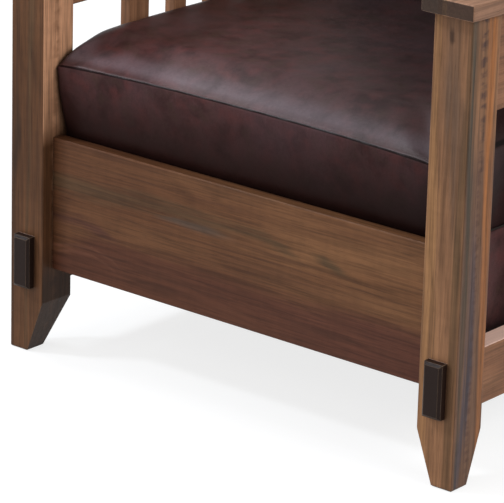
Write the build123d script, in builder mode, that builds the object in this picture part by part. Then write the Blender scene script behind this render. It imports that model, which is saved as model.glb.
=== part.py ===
from build123d import *
import math
import os

os.makedirs("parts", exist_ok=True)

# Reclining armchair in solid wood with loose leather cushions, in millimetres.
# X runs across the chair, +Y to its back, +Z up. The origin is on the floor
# below the middle of the whole chair, with the back in its upright notch.

# Driving sizes of the wooden frame
leg_width = 57.0
inside_width = 623.0
side_depth = 757.0
arm_underside = 598.5
arm_width = 77.0
arm_thickness = 20.3
arm_front_overhang = 14.0
arm_fall_angle = 1.7
arm_tail = 6.0
edge_ease = 2.0
foot_width = 30.5
foot_taper_height = 73.0
foot_chamfer = 1.5

# Side rails and slats
side_rail_thickness = 30.0
lower_rail_bottom = 91.0
lower_rail_height = 75.0
upper_rail_bottom = 468.0
slat_thickness = 18.0
wide_slat = 39.0
narrow_slat = 25.0
slat_gap = 52.0
slat_housing = 10.0

# Joints between rails and legs
through_tenon_thickness = 28.0
through_tenon_height = 72.0
through_tenon_proud = 13.0
through_tenon_bevel = 3.5
blind_tenon_length = 30.0
rail_tenon_thickness = 15.0
rail_tenon_shoulder = 14.0
leg_tenon_width = 30.0
leg_tenon_length = 12.0

# Front and rear aprons
apron_thickness = 19.0
apron_bottom = 118.0
apron_height = 183.0
apron_tenon_thickness = 9.5
apron_tenon_length = 22.0
apron_tenon_rise = 62.0
apron_tenon_shoulder = 12.0

# Upholstered seat between the aprons
seat_rail_thickness = 19.0
seat_rail_bottom = 146.0
seat_rail_height = 126.0
seat_side_gap = 0.5
seat_cover_thickness = 2.0
corner_block_leg = 50.0
corner_block_height = 80.0
corner_block_drop = 20.0
cleat_depth = 22.0
cleat_height = 19.0
cleat_end_gap = 30.0
dust_cover_thickness = 1.0
deck_thickness = 12.0
strap_width = 50.0
strap_thickness = 2.0
strap_end_margin = 3.0
lengthwise_straps = 5
crosswise_straps = 6
tack_radius = 1.0
tack_head_radius = 3.0
tack_head_height = 0.8
tack_length = 14.0
tack_spacing = 30.0
soft_gap = 0.3

# Seat cushion
cushion_side_gap = 0.8
cushion_apron_gap = 0.8
seat_seam_height = 399.0
seat_bulge = 17.0
seat_crown = 44.0
seat_corner_radius = 8.0
seat_side_reach = 140.0
seat_front_reach = 170.0
cushion_waist = 4.0
cover_thickness = 2.0

# Back frame
back_lean_angle = 16.0
back_recline_angle = 15.0
back_side_gap = 4.5
back_top = 745.0
stile_width = 42.0
stile_thickness = 26.0
stile_drop = 4.0
back_rail_height = 60.0
back_rail_thickness = 22.0
back_slat_height = 50.0
back_slat_thickness = 16.0
back_slat_count = 4
back_tenon_thickness = 10.0
back_tenon_length = 22.0
back_tenon_shoulder = 6.0

# Back cushion, measured in the leaning back
back_cushion_bottom = -24.5
back_cushion_drop = 45.0
back_cushion_boxing = 104.0
back_cushion_crown = 26.0
back_crown_reach = 170.0
back_cushion_side_gap = 5.0
back_corner_radius = 26.0

# Hinges between the rear apron and the back
hinge_radius = 4.0
hinge_pin_radius = 2.5
hinge_play = 0.05
hinge_length = 60.0
hinge_middle_knuckle = 24.0
hinge_knuckle_gap = 0.3
hinge_leaf = 2.0
hinge_fixed_reach = 21.0
hinge_moving_reach = 34.0
hinge_moving_screw_height = 20.0
hinge_spacing = 340.0
hinge_front_gap = 0.5
running_gap = 0.3

# Adjusting bar and its notched racks
bar_radius = 15.0
bar_end_overhang = 9.0
bar_end_chamfer = 3.0
rack_width = 28.0
rack_front_height = 14.0
rack_rise_angle = 15.0
rack_front_margin = 30.0
rack_end_margin = 26.0
notch_count = 11

# Screws
screw_radius = 2.0
screw_head_radius = 3.8
screw_head_height = 2.4
cleat_screw_length = 34.0
cleat_screw_count = 4
rack_screw_length = 30.0
rack_screw_margin = 14.0
hinge_screw_length = 18.0
hinge_screw_spacing = 20.0
cut_overrun = 5.0

# Levels of the cushions, from the bottom of the boxing to its seam: shares of
# the boxing's height, of the front's swell and of the sides' drawing in
boxing_rise_share = [0.0, 0.14, 0.45, 0.75, 1.0]
boxing_bulge_share = [0.0, 0.0, 0.6, 0.9, 1.0]
boxing_draw_share = [0.6, 0.2, 0.0, 0.2, 0.0]
back_boxing_share = [0.0, 0.5, 1.0]
back_draw_share = [0.0, 1.0, 0.0]

# Levels of the crowns above the seam: shares of the crown's rise, and of the
# reach from the seam to where the panel lies level
seat_rise_share = [0.36, 0.64, 0.8, 0.9, 0.97, 1.0]
seat_side_share = [0.021, 0.057, 0.12, 0.25, 0.57, 1.0]
seat_front_share = [0.11, 0.205, 0.3, 0.45, 0.68, 1.0]
back_rise_share = [0.36, 0.62, 0.82, 0.95, 1.0]
back_inset_share = [0.07, 0.2, 0.42, 0.72, 1.0]

# Places that follow from the sizes above
half_inside = inside_width / 2
half_overall = half_inside + leg_width
leg_centre = half_inside + leg_width / 2
apron_top = apron_bottom + apron_height
back_cushion_top = back_top - back_cushion_drop
fall = math.tan(math.radians(arm_fall_angle))
fall_cos = math.cos(math.radians(arm_fall_angle))
fall_sin = math.sin(math.radians(arm_fall_angle))


def lean_sin(angle):
    return math.sin(math.radians(angle))


def lean_cos(angle):
    return math.cos(math.radians(angle))


# Distances from the front face of the front legs, before the origin is known
rear_apron_front = side_depth - (leg_width + apron_thickness) / 2
pivot_depth = rear_apron_front - hinge_front_gap - hinge_radius
pivot_z = apron_top + hinge_radius
stile_back = -(hinge_radius + running_gap)
stile_front = stile_back - stile_thickness
bar_gap = bar_radius + running_gap
bar_reach = stile_back + bar_gap

# The bar starts above the front of the racks, and one radius behind the
# leaning stiles: the two straight lines cross at its centre.
bar_line = arm_underside + arm_thickness + rack_front_height + bar_gap - pivot_z
bar_depth = (
    pivot_depth * lean_cos(back_lean_angle) + bar_line * lean_sin(back_lean_angle) + bar_reach
) / (lean_cos(back_lean_angle) + fall * lean_sin(back_lean_angle))
bar_height = bar_line - fall * bar_depth

# It follows the rising racks until it again lies behind the stiles, which
# have then leaned back by the whole range
full_lean_angle = back_lean_angle + back_recline_angle
bar_travel = (
    bar_reach
    - (bar_depth - pivot_depth) * lean_cos(full_lean_angle)
    + bar_height * lean_sin(full_lean_angle)
) / lean_cos(rack_rise_angle + full_lean_angle)
rack_run = bar_travel * lean_cos(rack_rise_angle)
arm_rear_overhang = bar_depth + rack_run + rack_end_margin + arm_tail - side_depth
overall_depth = arm_front_overhang + side_depth + arm_rear_overhang
front_y = arm_front_overhang - overall_depth / 2
rear_y = front_y + side_depth
arm_front_y = front_y - arm_front_overhang
arm_rear_y = rear_y + arm_rear_overhang
pivot_y = front_y + pivot_depth
apron_inset = (leg_width - apron_thickness) / 2
front_apron_back = front_y + apron_inset + apron_thickness
rear_apron_y = front_y + rear_apron_front
inner_front_y = front_y + leg_width
inner_rear_y = rear_y - leg_width


def arm_bottom_at(y):
    return arm_underside - fall * (y - front_y)


# The back is drawn on planes square to its lean: local X across, local Y
# towards the rear, and the plane's offset is the height along the stiles.
back_plane = Plane(
    origin=(0, pivot_y, pivot_z),
    x_dir=(1, 0, 0),
    z_dir=(0, lean_sin(back_lean_angle), lean_cos(back_lean_angle)),
)
# Seen from the front of the chair, with the offset growing towards the sitter
back_face_plane = Plane(
    origin=(0, pivot_y, pivot_z),
    x_dir=(1, 0, 0),
    z_dir=(0, -lean_cos(back_lean_angle), lean_sin(back_lean_angle)),
)
# Along the underside of the arms: local X to the rear and local Y upwards
arm_under_plane = Plane(
    origin=(0, front_y, arm_underside),
    x_dir=(0, fall_cos, -fall_sin),
    z_dir=(1, 0, 0),
)
rack_front_y = front_y + bar_depth - rack_front_margin
rack_end_y = front_y + bar_depth + rack_run + rack_end_margin
rack_screw_x = [
    (rack_front_y + rack_screw_margin - front_y) / fall_cos,
    (rack_end_y - rack_screw_margin - front_y) / fall_cos,
]


def keep(piece, label):
    piece.part.label = label
    export_step(piece.part, f"parts/{label}.step")


# A countersunk screw, or the hole that it fills, with its head's face at the
# active location and its shank running along local minus Z
def screw_shape(length, mode=Mode.ADD):
    Cone(
        screw_radius,
        screw_head_radius,
        screw_head_height,
        align=(Align.CENTER, Align.CENTER, Align.MAX),
        mode=mode,
    )
    with Locations((0, 0, -screw_head_height)):
        Cylinder(
            screw_radius,
            length - screw_head_height,
            align=(Align.CENTER, Align.CENTER, Align.MAX),
            mode=mode,
        )


# Slat centres along a side: wide and narrow slats take turns, evenly gapped,
# and the row stands in the middle between the legs
slat_widths = [wide_slat, narrow_slat, wide_slat, narrow_slat, wide_slat]
slat_row = sum(slat_widths) + slat_gap * (len(slat_widths) - 1)
slat_start = (inner_front_y + inner_rear_y - slat_row) / 2
slat_places = []
for width in slat_widths:
    slat_places.append((slat_start + width / 2, width))
    slat_start += width + slat_gap

through_tenon_bottom = lower_rail_bottom + (lower_rail_height - through_tenon_height) / 2
tenon_mid_z = through_tenon_bottom + through_tenon_height / 2
lower_rail_top = lower_rail_bottom + lower_rail_height
apron_tenon_bottom = apron_bottom + apron_tenon_rise
apron_tenon_height = apron_height - apron_tenon_rise - apron_tenon_shoulder
upper_tenon_bottom = upper_rail_bottom + rail_tenon_shoulder
upper_tenon_top = arm_bottom_at(rear_y) - rail_tenon_shoulder


# One leg stands on a foot that tapers on its two inner faces. It is drawn at
# the side of the chair given by sign, and towards is +1 at the front, where
# the inner face looks to the rear, and -1 at the rear.
def make_leg(sign, towards):
    outer_y = front_y if towards > 0 else rear_y
    inner_y = outer_y + towards * leg_width
    foot_y = outer_y + towards * foot_width
    outer_x = sign * half_overall
    inner_x = sign * half_inside
    foot_x = sign * (half_overall - foot_width)
    middle_y = (outer_y + inner_y) / 2
    with BuildPart() as leg:
        with BuildSketch(Plane.XZ.offset(-min(outer_y, inner_y))):
            with BuildLine():
                Polyline(
                    (outer_x, 0),
                    (foot_x, 0),
                    (inner_x, foot_taper_height),
                    (inner_x, arm_underside),
                    (outer_x, arm_underside),
                    close=True,
                )
            make_face()
        extrude(amount=-leg_width)
        with BuildSketch(Plane.YZ.offset(min(outer_x, inner_x))):
            with BuildLine():
                Polyline(
                    (outer_y, 0),
                    (foot_y, 0),
                    (inner_y, foot_taper_height),
                    (inner_y, arm_bottom_at(inner_y)),
                    (outer_y, arm_bottom_at(outer_y)),
                    close=True,
                )
            make_face()
        extrude(amount=leg_width, mode=Mode.INTERSECT)
        with BuildSketch(Plane.XY):
            with Locations((sign * leg_centre, middle_y)):
                RectangleRounded(leg_width, leg_width, edge_ease)
        extrude(amount=arm_underside, mode=Mode.INTERSECT)
        chamfer(leg.faces().sort_by(Axis.Z)[0].edges(), foot_chamfer)
        # Tenon up into the arm
        with BuildSketch(Plane.XY.offset(arm_bottom_at(middle_y) - leg_tenon_length)):
            with Locations((sign * leg_centre, middle_y)):
                Rectangle(leg_tenon_width, leg_tenon_width)
        extrude(amount=leg_tenon_length * 2)
        # Mortises for the apron and for both side rails
        apron_y = outer_y + towards * (apron_inset + apron_thickness / 2)
        with Locations((inner_x, apron_y, apron_tenon_bottom)):
            Box(
                2 * apron_tenon_length,
                apron_tenon_thickness,
                apron_tenon_height,
                align=(Align.CENTER, Align.CENTER, Align.MIN),
                mode=Mode.SUBTRACT,
            )
        mortise_reach = leg_width + cut_overrun if towards > 0 else blind_tenon_length
        with Locations((sign * leg_centre, inner_y, tenon_mid_z)):
            Box(
                through_tenon_thickness,
                2 * mortise_reach,
                through_tenon_height,
                mode=Mode.SUBTRACT,
            )
        with Locations((sign * leg_centre, inner_y, upper_tenon_bottom)):
            Box(
                rail_tenon_thickness,
                2 * blind_tenon_length,
                upper_tenon_top - upper_tenon_bottom,
                align=(Align.CENTER, Align.CENTER, Align.MIN),
                mode=Mode.SUBTRACT,
            )
    return leg


for side, sign in (("left", -1), ("right", 1)):
    keep(make_leg(sign, 1), f"front_leg_{side}")
    keep(make_leg(sign, -1), f"rear_leg_{side}")

# Arms: one board each, falling slightly to the rear, with blind mortises for
# the tops of the legs
for side, sign in (("left", -1), ("right", 1)):
    with BuildPart() as arm:
        with BuildSketch(Plane.YZ.offset(sign * leg_centre - arm_width / 2)):
            with BuildLine():
                Polyline(
                    (arm_front_y, arm_bottom_at(arm_front_y)),
                    (arm_rear_y, arm_bottom_at(arm_rear_y)),
                    (arm_rear_y, arm_bottom_at(arm_rear_y) + arm_thickness),
                    (arm_front_y, arm_bottom_at(arm_front_y) + arm_thickness),
                    close=True,
                )
            make_face()
        extrude(amount=arm_width)
        fillet(arm.edges(), edge_ease)
        for middle_y in (front_y + leg_width / 2, rear_y - leg_width / 2):
            with Locations((sign * leg_centre, middle_y, arm_bottom_at(middle_y))):
                Box(
                    leg_tenon_width,
                    leg_tenon_width,
                    2 * leg_tenon_length,
                    mode=Mode.SUBTRACT,
                )
        with Locations(arm_under_plane.offset(sign * leg_centre)):
            for spot_x in rack_screw_x:
                with Locations(Location((spot_x, 0, 0), (90, 0, 0))):
                    screw_shape(rack_screw_length, Mode.SUBTRACT)
    keep(arm, f"arm_{side}")

# Lower side rails, tenoned right through the front legs and proud of them
inner_depth = inner_rear_y - inner_front_y
for side, sign in (("left", -1), ("right", 1)):
    with BuildPart() as lower_rail:
        with BuildSketch(Plane.XZ.offset(-inner_front_y)):
            with Locations((sign * leg_centre, lower_rail_bottom + lower_rail_height / 2)):
                RectangleRounded(side_rail_thickness, lower_rail_height, edge_ease)
        extrude(amount=-inner_depth)
        for middle_y, width in slat_places:
            with BuildSketch(Plane.XY.offset(lower_rail_top - slat_housing)):
                with Locations((sign * leg_centre, middle_y)):
                    RectangleRounded(slat_thickness, width, edge_ease)
            extrude(amount=slat_housing + cut_overrun, mode=Mode.SUBTRACT)
        with BuildSketch(Plane.XZ.offset(-inner_front_y)):
            with Locations((sign * leg_centre, tenon_mid_z)):
                Rectangle(through_tenon_thickness, through_tenon_height)
        extrude(amount=leg_width + through_tenon_proud)
        chamfer(lower_rail.faces().sort_by(Axis.Y)[0].edges(), through_tenon_bevel)
        with BuildSketch(Plane.XZ.offset(-inner_rear_y)):
            with Locations((sign * leg_centre, tenon_mid_z)):
                Rectangle(through_tenon_thickness, through_tenon_height)
        extrude(amount=-blind_tenon_length)
    keep(lower_rail, f"lower_side_rail_{side}")

# Upper side rails, deeper at the front than at the rear under the falling arm
for side, sign in (("left", -1), ("right", 1)):
    with BuildPart() as upper_rail:
        with BuildSketch(Plane.YZ.offset(sign * leg_centre - side_rail_thickness / 2)):
            with BuildLine():
                Polyline(
                    (inner_front_y, upper_rail_bottom),
                    (inner_rear_y, upper_rail_bottom),
                    (inner_rear_y, arm_bottom_at(inner_rear_y)),
                    (inner_front_y, arm_bottom_at(inner_front_y)),
                    close=True,
                )
            make_face()
        extrude(amount=side_rail_thickness)
        fillet(upper_rail.edges().filter_by(Axis.Y), edge_ease)
        for middle_y, width in slat_places:
            with BuildSketch(Plane.XY.offset(upper_rail_bottom - cut_overrun)):
                with Locations((sign * leg_centre, middle_y)):
                    RectangleRounded(slat_thickness, width, edge_ease)
            extrude(amount=slat_housing + cut_overrun, mode=Mode.SUBTRACT)
        middle_z = (upper_tenon_bottom + upper_tenon_top) / 2
        with BuildSketch(Plane.XZ.offset(-inner_front_y + blind_tenon_length)):
            with Locations((sign * leg_centre, middle_z)):
                Rectangle(rail_tenon_thickness, upper_tenon_top - upper_tenon_bottom)
        extrude(amount=-(inner_depth + 2 * blind_tenon_length))
    keep(upper_rail, f"upper_side_rail_{side}")

# Side slats, housed at both ends
for side, sign in (("left", -1), ("right", 1)):
    for number, (middle_y, width) in enumerate(slat_places, start=1):
        with BuildPart() as slat:
            with BuildSketch(Plane.XY.offset(lower_rail_top - slat_housing)):
                with Locations((sign * leg_centre, middle_y)):
                    RectangleRounded(slat_thickness, width, edge_ease)
            extrude(amount=upper_rail_bottom - lower_rail_top + 2 * slat_housing)
        keep(slat, f"side_slat_{side}_{number}")

# Front and rear aprons, tenoned into the legs
cleat_length = inside_width - 2 * cleat_end_gap
cleat_screw_pitch = cleat_length / cleat_screw_count
cleat_z = seat_rail_bottom - cleat_height / 2
apron_places = (
    ("front", front_y + apron_inset, front_apron_back, 1),
    ("rear", rear_apron_y, rear_apron_y, -1),
)
hinge_spots = [-hinge_spacing / 2, hinge_spacing / 2]
fixed_screw_y = rear_apron_y + (hinge_fixed_reach - hinge_radius - hinge_front_gap) / 2
hinge_screw_x = [
    spot + share * hinge_screw_spacing for spot in hinge_spots for share in (-1, 0, 1)
]
for end, apron_y, cleat_face, towards in apron_places:
    with BuildPart() as apron:
        with BuildSketch(Plane.YZ.offset(-half_inside)):
            with Locations((apron_y + apron_thickness / 2, apron_bottom + apron_height / 2)):
                RectangleRounded(apron_thickness, apron_height, edge_ease)
        extrude(amount=inside_width)
        with Locations((0, apron_y + apron_thickness / 2, apron_tenon_bottom)):
            Box(
                inside_width + 2 * apron_tenon_length,
                apron_tenon_thickness,
                apron_tenon_height,
                align=(Align.CENTER, Align.CENTER, Align.MIN),
            )
        with Locations(Location((0, cleat_face + towards * cleat_depth, cleat_z), (-90 * towards, 0, 0))):
            with GridLocations(cleat_screw_pitch, 0, cleat_screw_count, 1):
                screw_shape(cleat_screw_length, Mode.SUBTRACT)
        if end == "rear":
            with Locations(*[(x, fixed_screw_y, apron_top + hinge_leaf) for x in hinge_screw_x]):
                screw_shape(hinge_screw_length, Mode.SUBTRACT)
    keep(apron, f"{end}_apron")

    with BuildPart() as cleat:
        with Locations((0, cleat_face + towards * cleat_depth / 2, cleat_z)):
            Box(cleat_length, cleat_depth, cleat_height)
        with Locations(Location((0, cleat_face + towards * cleat_depth, cleat_z), (-90 * towards, 0, 0))):
            with GridLocations(cleat_screw_pitch, 0, cleat_screw_count, 1):
                screw_shape(cleat_screw_length, Mode.SUBTRACT)
    keep(cleat, f"{end}_seat_cleat")

with BuildPart() as cleat_screws:
    for end, apron_y, cleat_face, towards in apron_places:
        with Locations(Location((0, cleat_face + towards * cleat_depth, cleat_z), (-90 * towards, 0, 0))):
            with GridLocations(cleat_screw_pitch, 0, cleat_screw_count, 1):
                screw_shape(cleat_screw_length)
keep(cleat_screws, "cleat_screws")

# Seat frame: a box of four rails with corner blocks, standing on the cleats
seat_half_width = half_inside - seat_side_gap - seat_cover_thickness
seat_rail_x = seat_half_width - seat_rail_thickness / 2
seat_depth = rear_apron_y - front_apron_back
seat_middle_y = (rear_apron_y + front_apron_back) / 2
seat_rail_top = seat_rail_bottom + seat_rail_height
side_rail_top = seat_rail_top + strap_thickness
seat_cross_length = 2 * (seat_half_width - seat_rail_thickness)
seat_inner_depth = seat_depth - 2 * seat_rail_thickness


# A strap's tack, or the hole that it fills, with the underside of its head at
# the active location
def tack_shape(mode=Mode.ADD):
    Cylinder(
        tack_head_radius,
        tack_head_height,
        align=(Align.CENTER, Align.CENTER, Align.MIN),
        mode=mode,
    )
    Cylinder(
        tack_radius,
        tack_length,
        align=(Align.CENTER, Align.CENTER, Align.MAX),
        mode=mode,
    )


lengthwise_pitch = seat_cross_length / lengthwise_straps
crosswise_pitch = seat_inner_depth / crosswise_straps
lengthwise_tacks = [
    (strap_x + across, seat_middle_y + end * (seat_depth - seat_rail_thickness) / 2, side_rail_top)
    for strap_x in [
        (number - (lengthwise_straps - 1) / 2) * lengthwise_pitch
        for number in range(lengthwise_straps)
    ]
    for across in (-tack_spacing / 2, tack_spacing / 2)
    for end in (-1, 1)
]
crosswise_tacks = [
    (end * seat_rail_x, strap_y + across, side_rail_top + strap_thickness)
    for strap_y in [
        seat_middle_y + (number - (crosswise_straps - 1) / 2) * crosswise_pitch
        for number in range(crosswise_straps)
    ]
    for across in (-tack_spacing / 2, tack_spacing / 2)
    for end in (-1, 1)
]
for side, sign in (("left", -1), ("right", 1)):
    with BuildPart() as seat_side_rail:
        with Locations((sign * seat_rail_x, seat_middle_y, seat_rail_bottom)):
            Box(
                seat_rail_thickness,
                seat_depth,
                side_rail_top - seat_rail_bottom,
                align=(Align.CENTER, Align.CENTER, Align.MIN),
            )
        with Locations(*crosswise_tacks):
            tack_shape(Mode.SUBTRACT)
    keep(seat_side_rail, f"seat_side_rail_{side}")

seat_cross_y = {
    "front": front_apron_back + seat_rail_thickness / 2,
    "rear": rear_apron_y - seat_rail_thickness / 2,
}
for end, middle_y in seat_cross_y.items():
    with BuildPart() as seat_cross_rail:
        with Locations((0, middle_y, seat_rail_bottom)):
            Box(
                seat_cross_length,
                seat_rail_thickness,
                seat_rail_height,
                align=(Align.CENTER, Align.CENTER, Align.MIN),
            )
        with Locations(*lengthwise_tacks):
            tack_shape(Mode.SUBTRACT)
    keep(seat_cross_rail, f"seat_{end}_rail")

block_top = seat_rail_top - corner_block_drop
with BuildPart() as corner_blocks:
    with BuildSketch(Plane.XY.offset(block_top - corner_block_height)):
        for x_sign in (-1, 1):
            for y_sign in (-1, 1):
                corner_x = x_sign * seat_cross_length / 2
                corner_y = seat_middle_y + y_sign * (seat_depth / 2 - seat_rail_thickness)
                with BuildLine():
                    Polyline(
                        (corner_x, corner_y),
                        (corner_x - x_sign * corner_block_leg, corner_y),
                        (corner_x, corner_y - y_sign * corner_block_leg),
                        close=True,
                    )
                make_face()
    extrude(amount=corner_block_height)
keep(corner_blocks, "seat_corner_blocks")

# Webbing: straps from front to rear, and straps across on top of them, each
# held on the rails by two tacks at either end
with BuildPart() as lengthwise_webbing:
    with Locations((0, seat_middle_y, seat_rail_top)):
        with GridLocations(lengthwise_pitch, 0, lengthwise_straps, 1):
            Box(
                strap_width,
                seat_depth - 2 * strap_end_margin,
                strap_thickness,
                align=(Align.CENTER, Align.CENTER, Align.MIN),
            )
    with Locations(*lengthwise_tacks):
        tack_shape(Mode.SUBTRACT)
keep(lengthwise_webbing, "webbing_lengthwise")

with BuildPart() as crosswise_webbing:
    with Locations((0, seat_middle_y, side_rail_top)):
        with GridLocations(0, crosswise_pitch, 1, crosswise_straps):
            Box(
                2 * (seat_half_width - strap_end_margin),
                strap_width,
                strap_thickness,
                align=(Align.CENTER, Align.CENTER, Align.MIN),
            )
    with Locations(*crosswise_tacks):
        tack_shape(Mode.SUBTRACT)
keep(crosswise_webbing, "webbing_crosswise")

with BuildPart() as webbing_tacks:
    with Locations(*lengthwise_tacks, *crosswise_tacks):
        tack_shape()
keep(webbing_tacks, "webbing_tacks")

# Deck pad over the webbing, leather sides and a dust cover below
deck_bottom = side_rail_top + strap_thickness + tack_head_height
deck_top = deck_bottom + deck_thickness
with BuildPart() as deck_pad:
    with Locations((0, seat_middle_y, deck_bottom)):
        Box(
            2 * seat_half_width,
            seat_depth - 2 * soft_gap,
            deck_thickness,
            align=(Align.CENTER, Align.CENTER, Align.MIN),
        )
keep(deck_pad, "seat_deck_pad")

for side, sign in (("left", -1), ("right", 1)):
    with BuildPart() as seat_side_cover:
        cover_x = sign * (seat_half_width + seat_cover_thickness / 2)
        with Locations((cover_x, seat_middle_y, seat_rail_bottom)):
            Box(
                seat_cover_thickness,
                seat_depth - 2 * soft_gap,
                deck_top - seat_rail_bottom,
                align=(Align.CENTER, Align.CENTER, Align.MIN),
            )
    keep(seat_side_cover, f"seat_side_cover_{side}")

with BuildPart() as dust_cover:
    with Locations((0, seat_middle_y, seat_rail_bottom)):
        Box(
            2 * seat_half_width,
            seat_depth - 2 * cleat_depth - 2 * soft_gap,
            dust_cover_thickness,
            align=(Align.CENTER, Align.CENTER, Align.MAX),
        )
keep(dust_cover, "seat_dust_cover")


# One level of a cushion: a closed outline whose four sides draw in between
# rounded corners, on the current sketch plane
def cushion_outline(low_x, high_x, low_y, high_y, radius, waist):
    middle_x = (low_x + high_x) / 2
    middle_y = (low_y + high_y) / 2
    with BuildSketch(mode=Mode.PRIVATE) as outline:
        with BuildLine():
            ThreePointArc((low_x, low_y), (middle_x, low_y + waist), (high_x, low_y))
            ThreePointArc((high_x, low_y), (high_x - waist, middle_y), (high_x, high_y))
            ThreePointArc((high_x, high_y), (middle_x, high_y - waist), (low_x, high_y))
            ThreePointArc((low_x, high_y), (low_x + waist, middle_y), (low_x, low_y))
        make_face()
        fillet(outline.vertices(), radius)
    return outline.sketch


# Back frame: two stiles, a top rail, a bottom rail and slats between them
half_back = half_inside - (arm_width - leg_width) / 2 - back_side_gap
stile_x = half_back - stile_width / 2
stile_mid = (stile_back + stile_front) / 2
cross_length = 2 * (half_back - stile_width)
bottom_rail_mid = stile_back - back_rail_thickness / 2
free_height = back_top - 2 * back_rail_height + stile_drop
slat_space = (free_height - back_slat_count * back_slat_height) / (back_slat_count + 1)
cross_places = [("back_bottom_rail", -stile_drop, back_rail_height, back_rail_thickness)]
cross_height = -stile_drop + back_rail_height + slat_space
for number in range(1, back_slat_count + 1):
    cross_places.append((f"back_slat_{number}", cross_height, back_slat_height, back_slat_thickness))
    cross_height += back_slat_height + slat_space
cross_places.append(("back_top_rail", back_top - back_rail_height, back_rail_height, back_rail_thickness))

for side, sign in (("left", -1), ("right", 1)):
    with BuildPart() as stile:
        with BuildSketch(back_plane.offset(-stile_drop)):
            with Locations((sign * stile_x, stile_mid)):
                RectangleRounded(stile_width, stile_thickness, edge_ease)
        extrude(amount=back_top + stile_drop)
        for label, bottom, height, thickness in cross_places:
            with BuildSketch(back_plane.offset(bottom + back_tenon_shoulder)):
                middle = bottom_rail_mid if thickness == back_rail_thickness else stile_mid
                with Locations((0, middle)):
                    Rectangle(cross_length + 2 * back_tenon_length, back_tenon_thickness)
            extrude(amount=height - 2 * back_tenon_shoulder, mode=Mode.SUBTRACT)
    keep(stile, f"back_stile_{side}")

moving_leaf_face = stile_back + hinge_leaf
moving_screws = [(x, hinge_moving_screw_height) for x in hinge_screw_x]
moving_screw_plane = Plane(
    origin=back_plane.from_local_coords((0, moving_leaf_face, 0)),
    x_dir=(1, 0, 0),
    z_dir=(0, -lean_cos(back_lean_angle), lean_sin(back_lean_angle)),
)
for label, bottom, height, thickness in cross_places:
    with BuildPart() as cross_piece:
        middle = bottom_rail_mid if thickness == back_rail_thickness else stile_mid
        with BuildSketch(back_plane.offset(bottom)):
            with Locations((0, middle)):
                Rectangle(cross_length, thickness)
        extrude(amount=height)
        fillet(cross_piece.edges().filter_by(Axis.X), edge_ease)
        with BuildSketch(back_plane.offset(bottom + back_tenon_shoulder)):
            with Locations((0, middle)):
                Rectangle(cross_length + 2 * back_tenon_length, back_tenon_thickness)
        extrude(amount=height - 2 * back_tenon_shoulder)
        if label == "back_bottom_rail":
            with Locations(moving_screw_plane):
                for x, up in moving_screws:
                    with Locations(Location((x, up, 0), (180, 0, 0))):
                        screw_shape(hinge_screw_length, Mode.SUBTRACT)
    keep(cross_piece, label)

# Back cushion: levels stacked from the slats towards the sitter
back_cushion_back = -(stile_front) + soft_gap
back_half = half_inside - (arm_width - leg_width) / 2 - back_cushion_side_gap


def back_level_list(inset):
    levels = []
    for rise, draw in zip(back_boxing_share, back_draw_share):
        levels.append((back_cushion_back + rise * back_cushion_boxing, draw * cushion_waist + inset))
    for rise, reach in zip(back_rise_share, back_inset_share):
        levels.append((
            back_cushion_back + back_cushion_boxing + rise * back_cushion_crown,
            reach * back_crown_reach + inset,
        ))
    return levels


def make_back_cushion(inset):
    levels = back_level_list(inset)
    seam_level = len(back_boxing_share) - 1
    faces = []
    for index, (depth, draw) in enumerate(levels):
        lift = inset if index == 0 else (-inset if index >= seam_level else 0)
        outline = cushion_outline(
            -back_half + draw,
            back_half - draw,
            back_cushion_bottom + draw,
            back_cushion_top - draw,
            back_corner_radius,
            cushion_waist,
        )
        faces.append(back_face_plane.offset(depth + lift) * outline)
    with BuildPart() as cushion:
        loft(sections=[face.faces()[0] for face in faces], ruled=True)
    return cushion


back_core = make_back_cushion(cover_thickness)
with BuildPart() as back_cover:
    add(make_back_cushion(0).part)
    add(back_core.part, mode=Mode.SUBTRACT)
keep(back_core, "back_cushion_core")
keep(back_cover, "back_cushion_cover")

# The foremost line of the back cushion's lower edge, which the seat cushion's
# rear stops short of
soft_nose_y = min(
    pivot_y
    + (back_cushion_bottom + draw) * lean_sin(back_lean_angle)
    - depth * lean_cos(back_lean_angle)
    for depth, draw in back_level_list(0)
)

# Seat cushion levels: height, front, rear, and inset at the sides. The front
# swells over the apron as it rises to its seam.
seat_cushion_bottom = deck_top + soft_gap
seat_front = front_apron_back + cushion_apron_gap
seat_rear = soft_nose_y - soft_gap
seat_half = half_inside - cushion_side_gap


def seat_level_list(inset):
    levels = []
    boxing = seat_seam_height - seat_cushion_bottom
    for rise, bulge, draw in zip(boxing_rise_share, boxing_bulge_share, boxing_draw_share):
        levels.append((
            seat_cushion_bottom + rise * boxing,
            seat_front - bulge * seat_bulge + inset,
            seat_rear - inset,
            seat_half - draw * cushion_waist - inset,
        ))
    for rise, front_share, side_share in zip(seat_rise_share, seat_front_share, seat_side_share):
        levels.append((
            seat_seam_height + rise * seat_crown,
            seat_front - seat_bulge + front_share * seat_front_reach + inset,
            seat_rear - side_share * seat_side_reach - inset,
            seat_half - side_share * seat_side_reach - inset,
        ))
    return levels


def make_seat_cushion(inset):
    levels = seat_level_list(inset)
    seam_level = len(boxing_rise_share) - 1
    faces = []
    for index, (height, front, rear, half) in enumerate(levels):
        lift = inset if index == 0 else (-inset if index >= seam_level else 0)
        outline = cushion_outline(-half, half, front, rear, seat_corner_radius, cushion_waist)
        faces.append(Plane.XY.offset(height + lift) * outline)
    with BuildPart() as cushion:
        loft(sections=[face.faces()[0] for face in faces], ruled=True)
    return cushion


seat_core = make_seat_cushion(cover_thickness)
with BuildPart() as seat_cover:
    add(make_seat_cushion(0).part)
    add(seat_core.part, mode=Mode.SUBTRACT)
keep(seat_core, "seat_cushion_core")
keep(seat_cover, "seat_cushion_cover")

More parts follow.
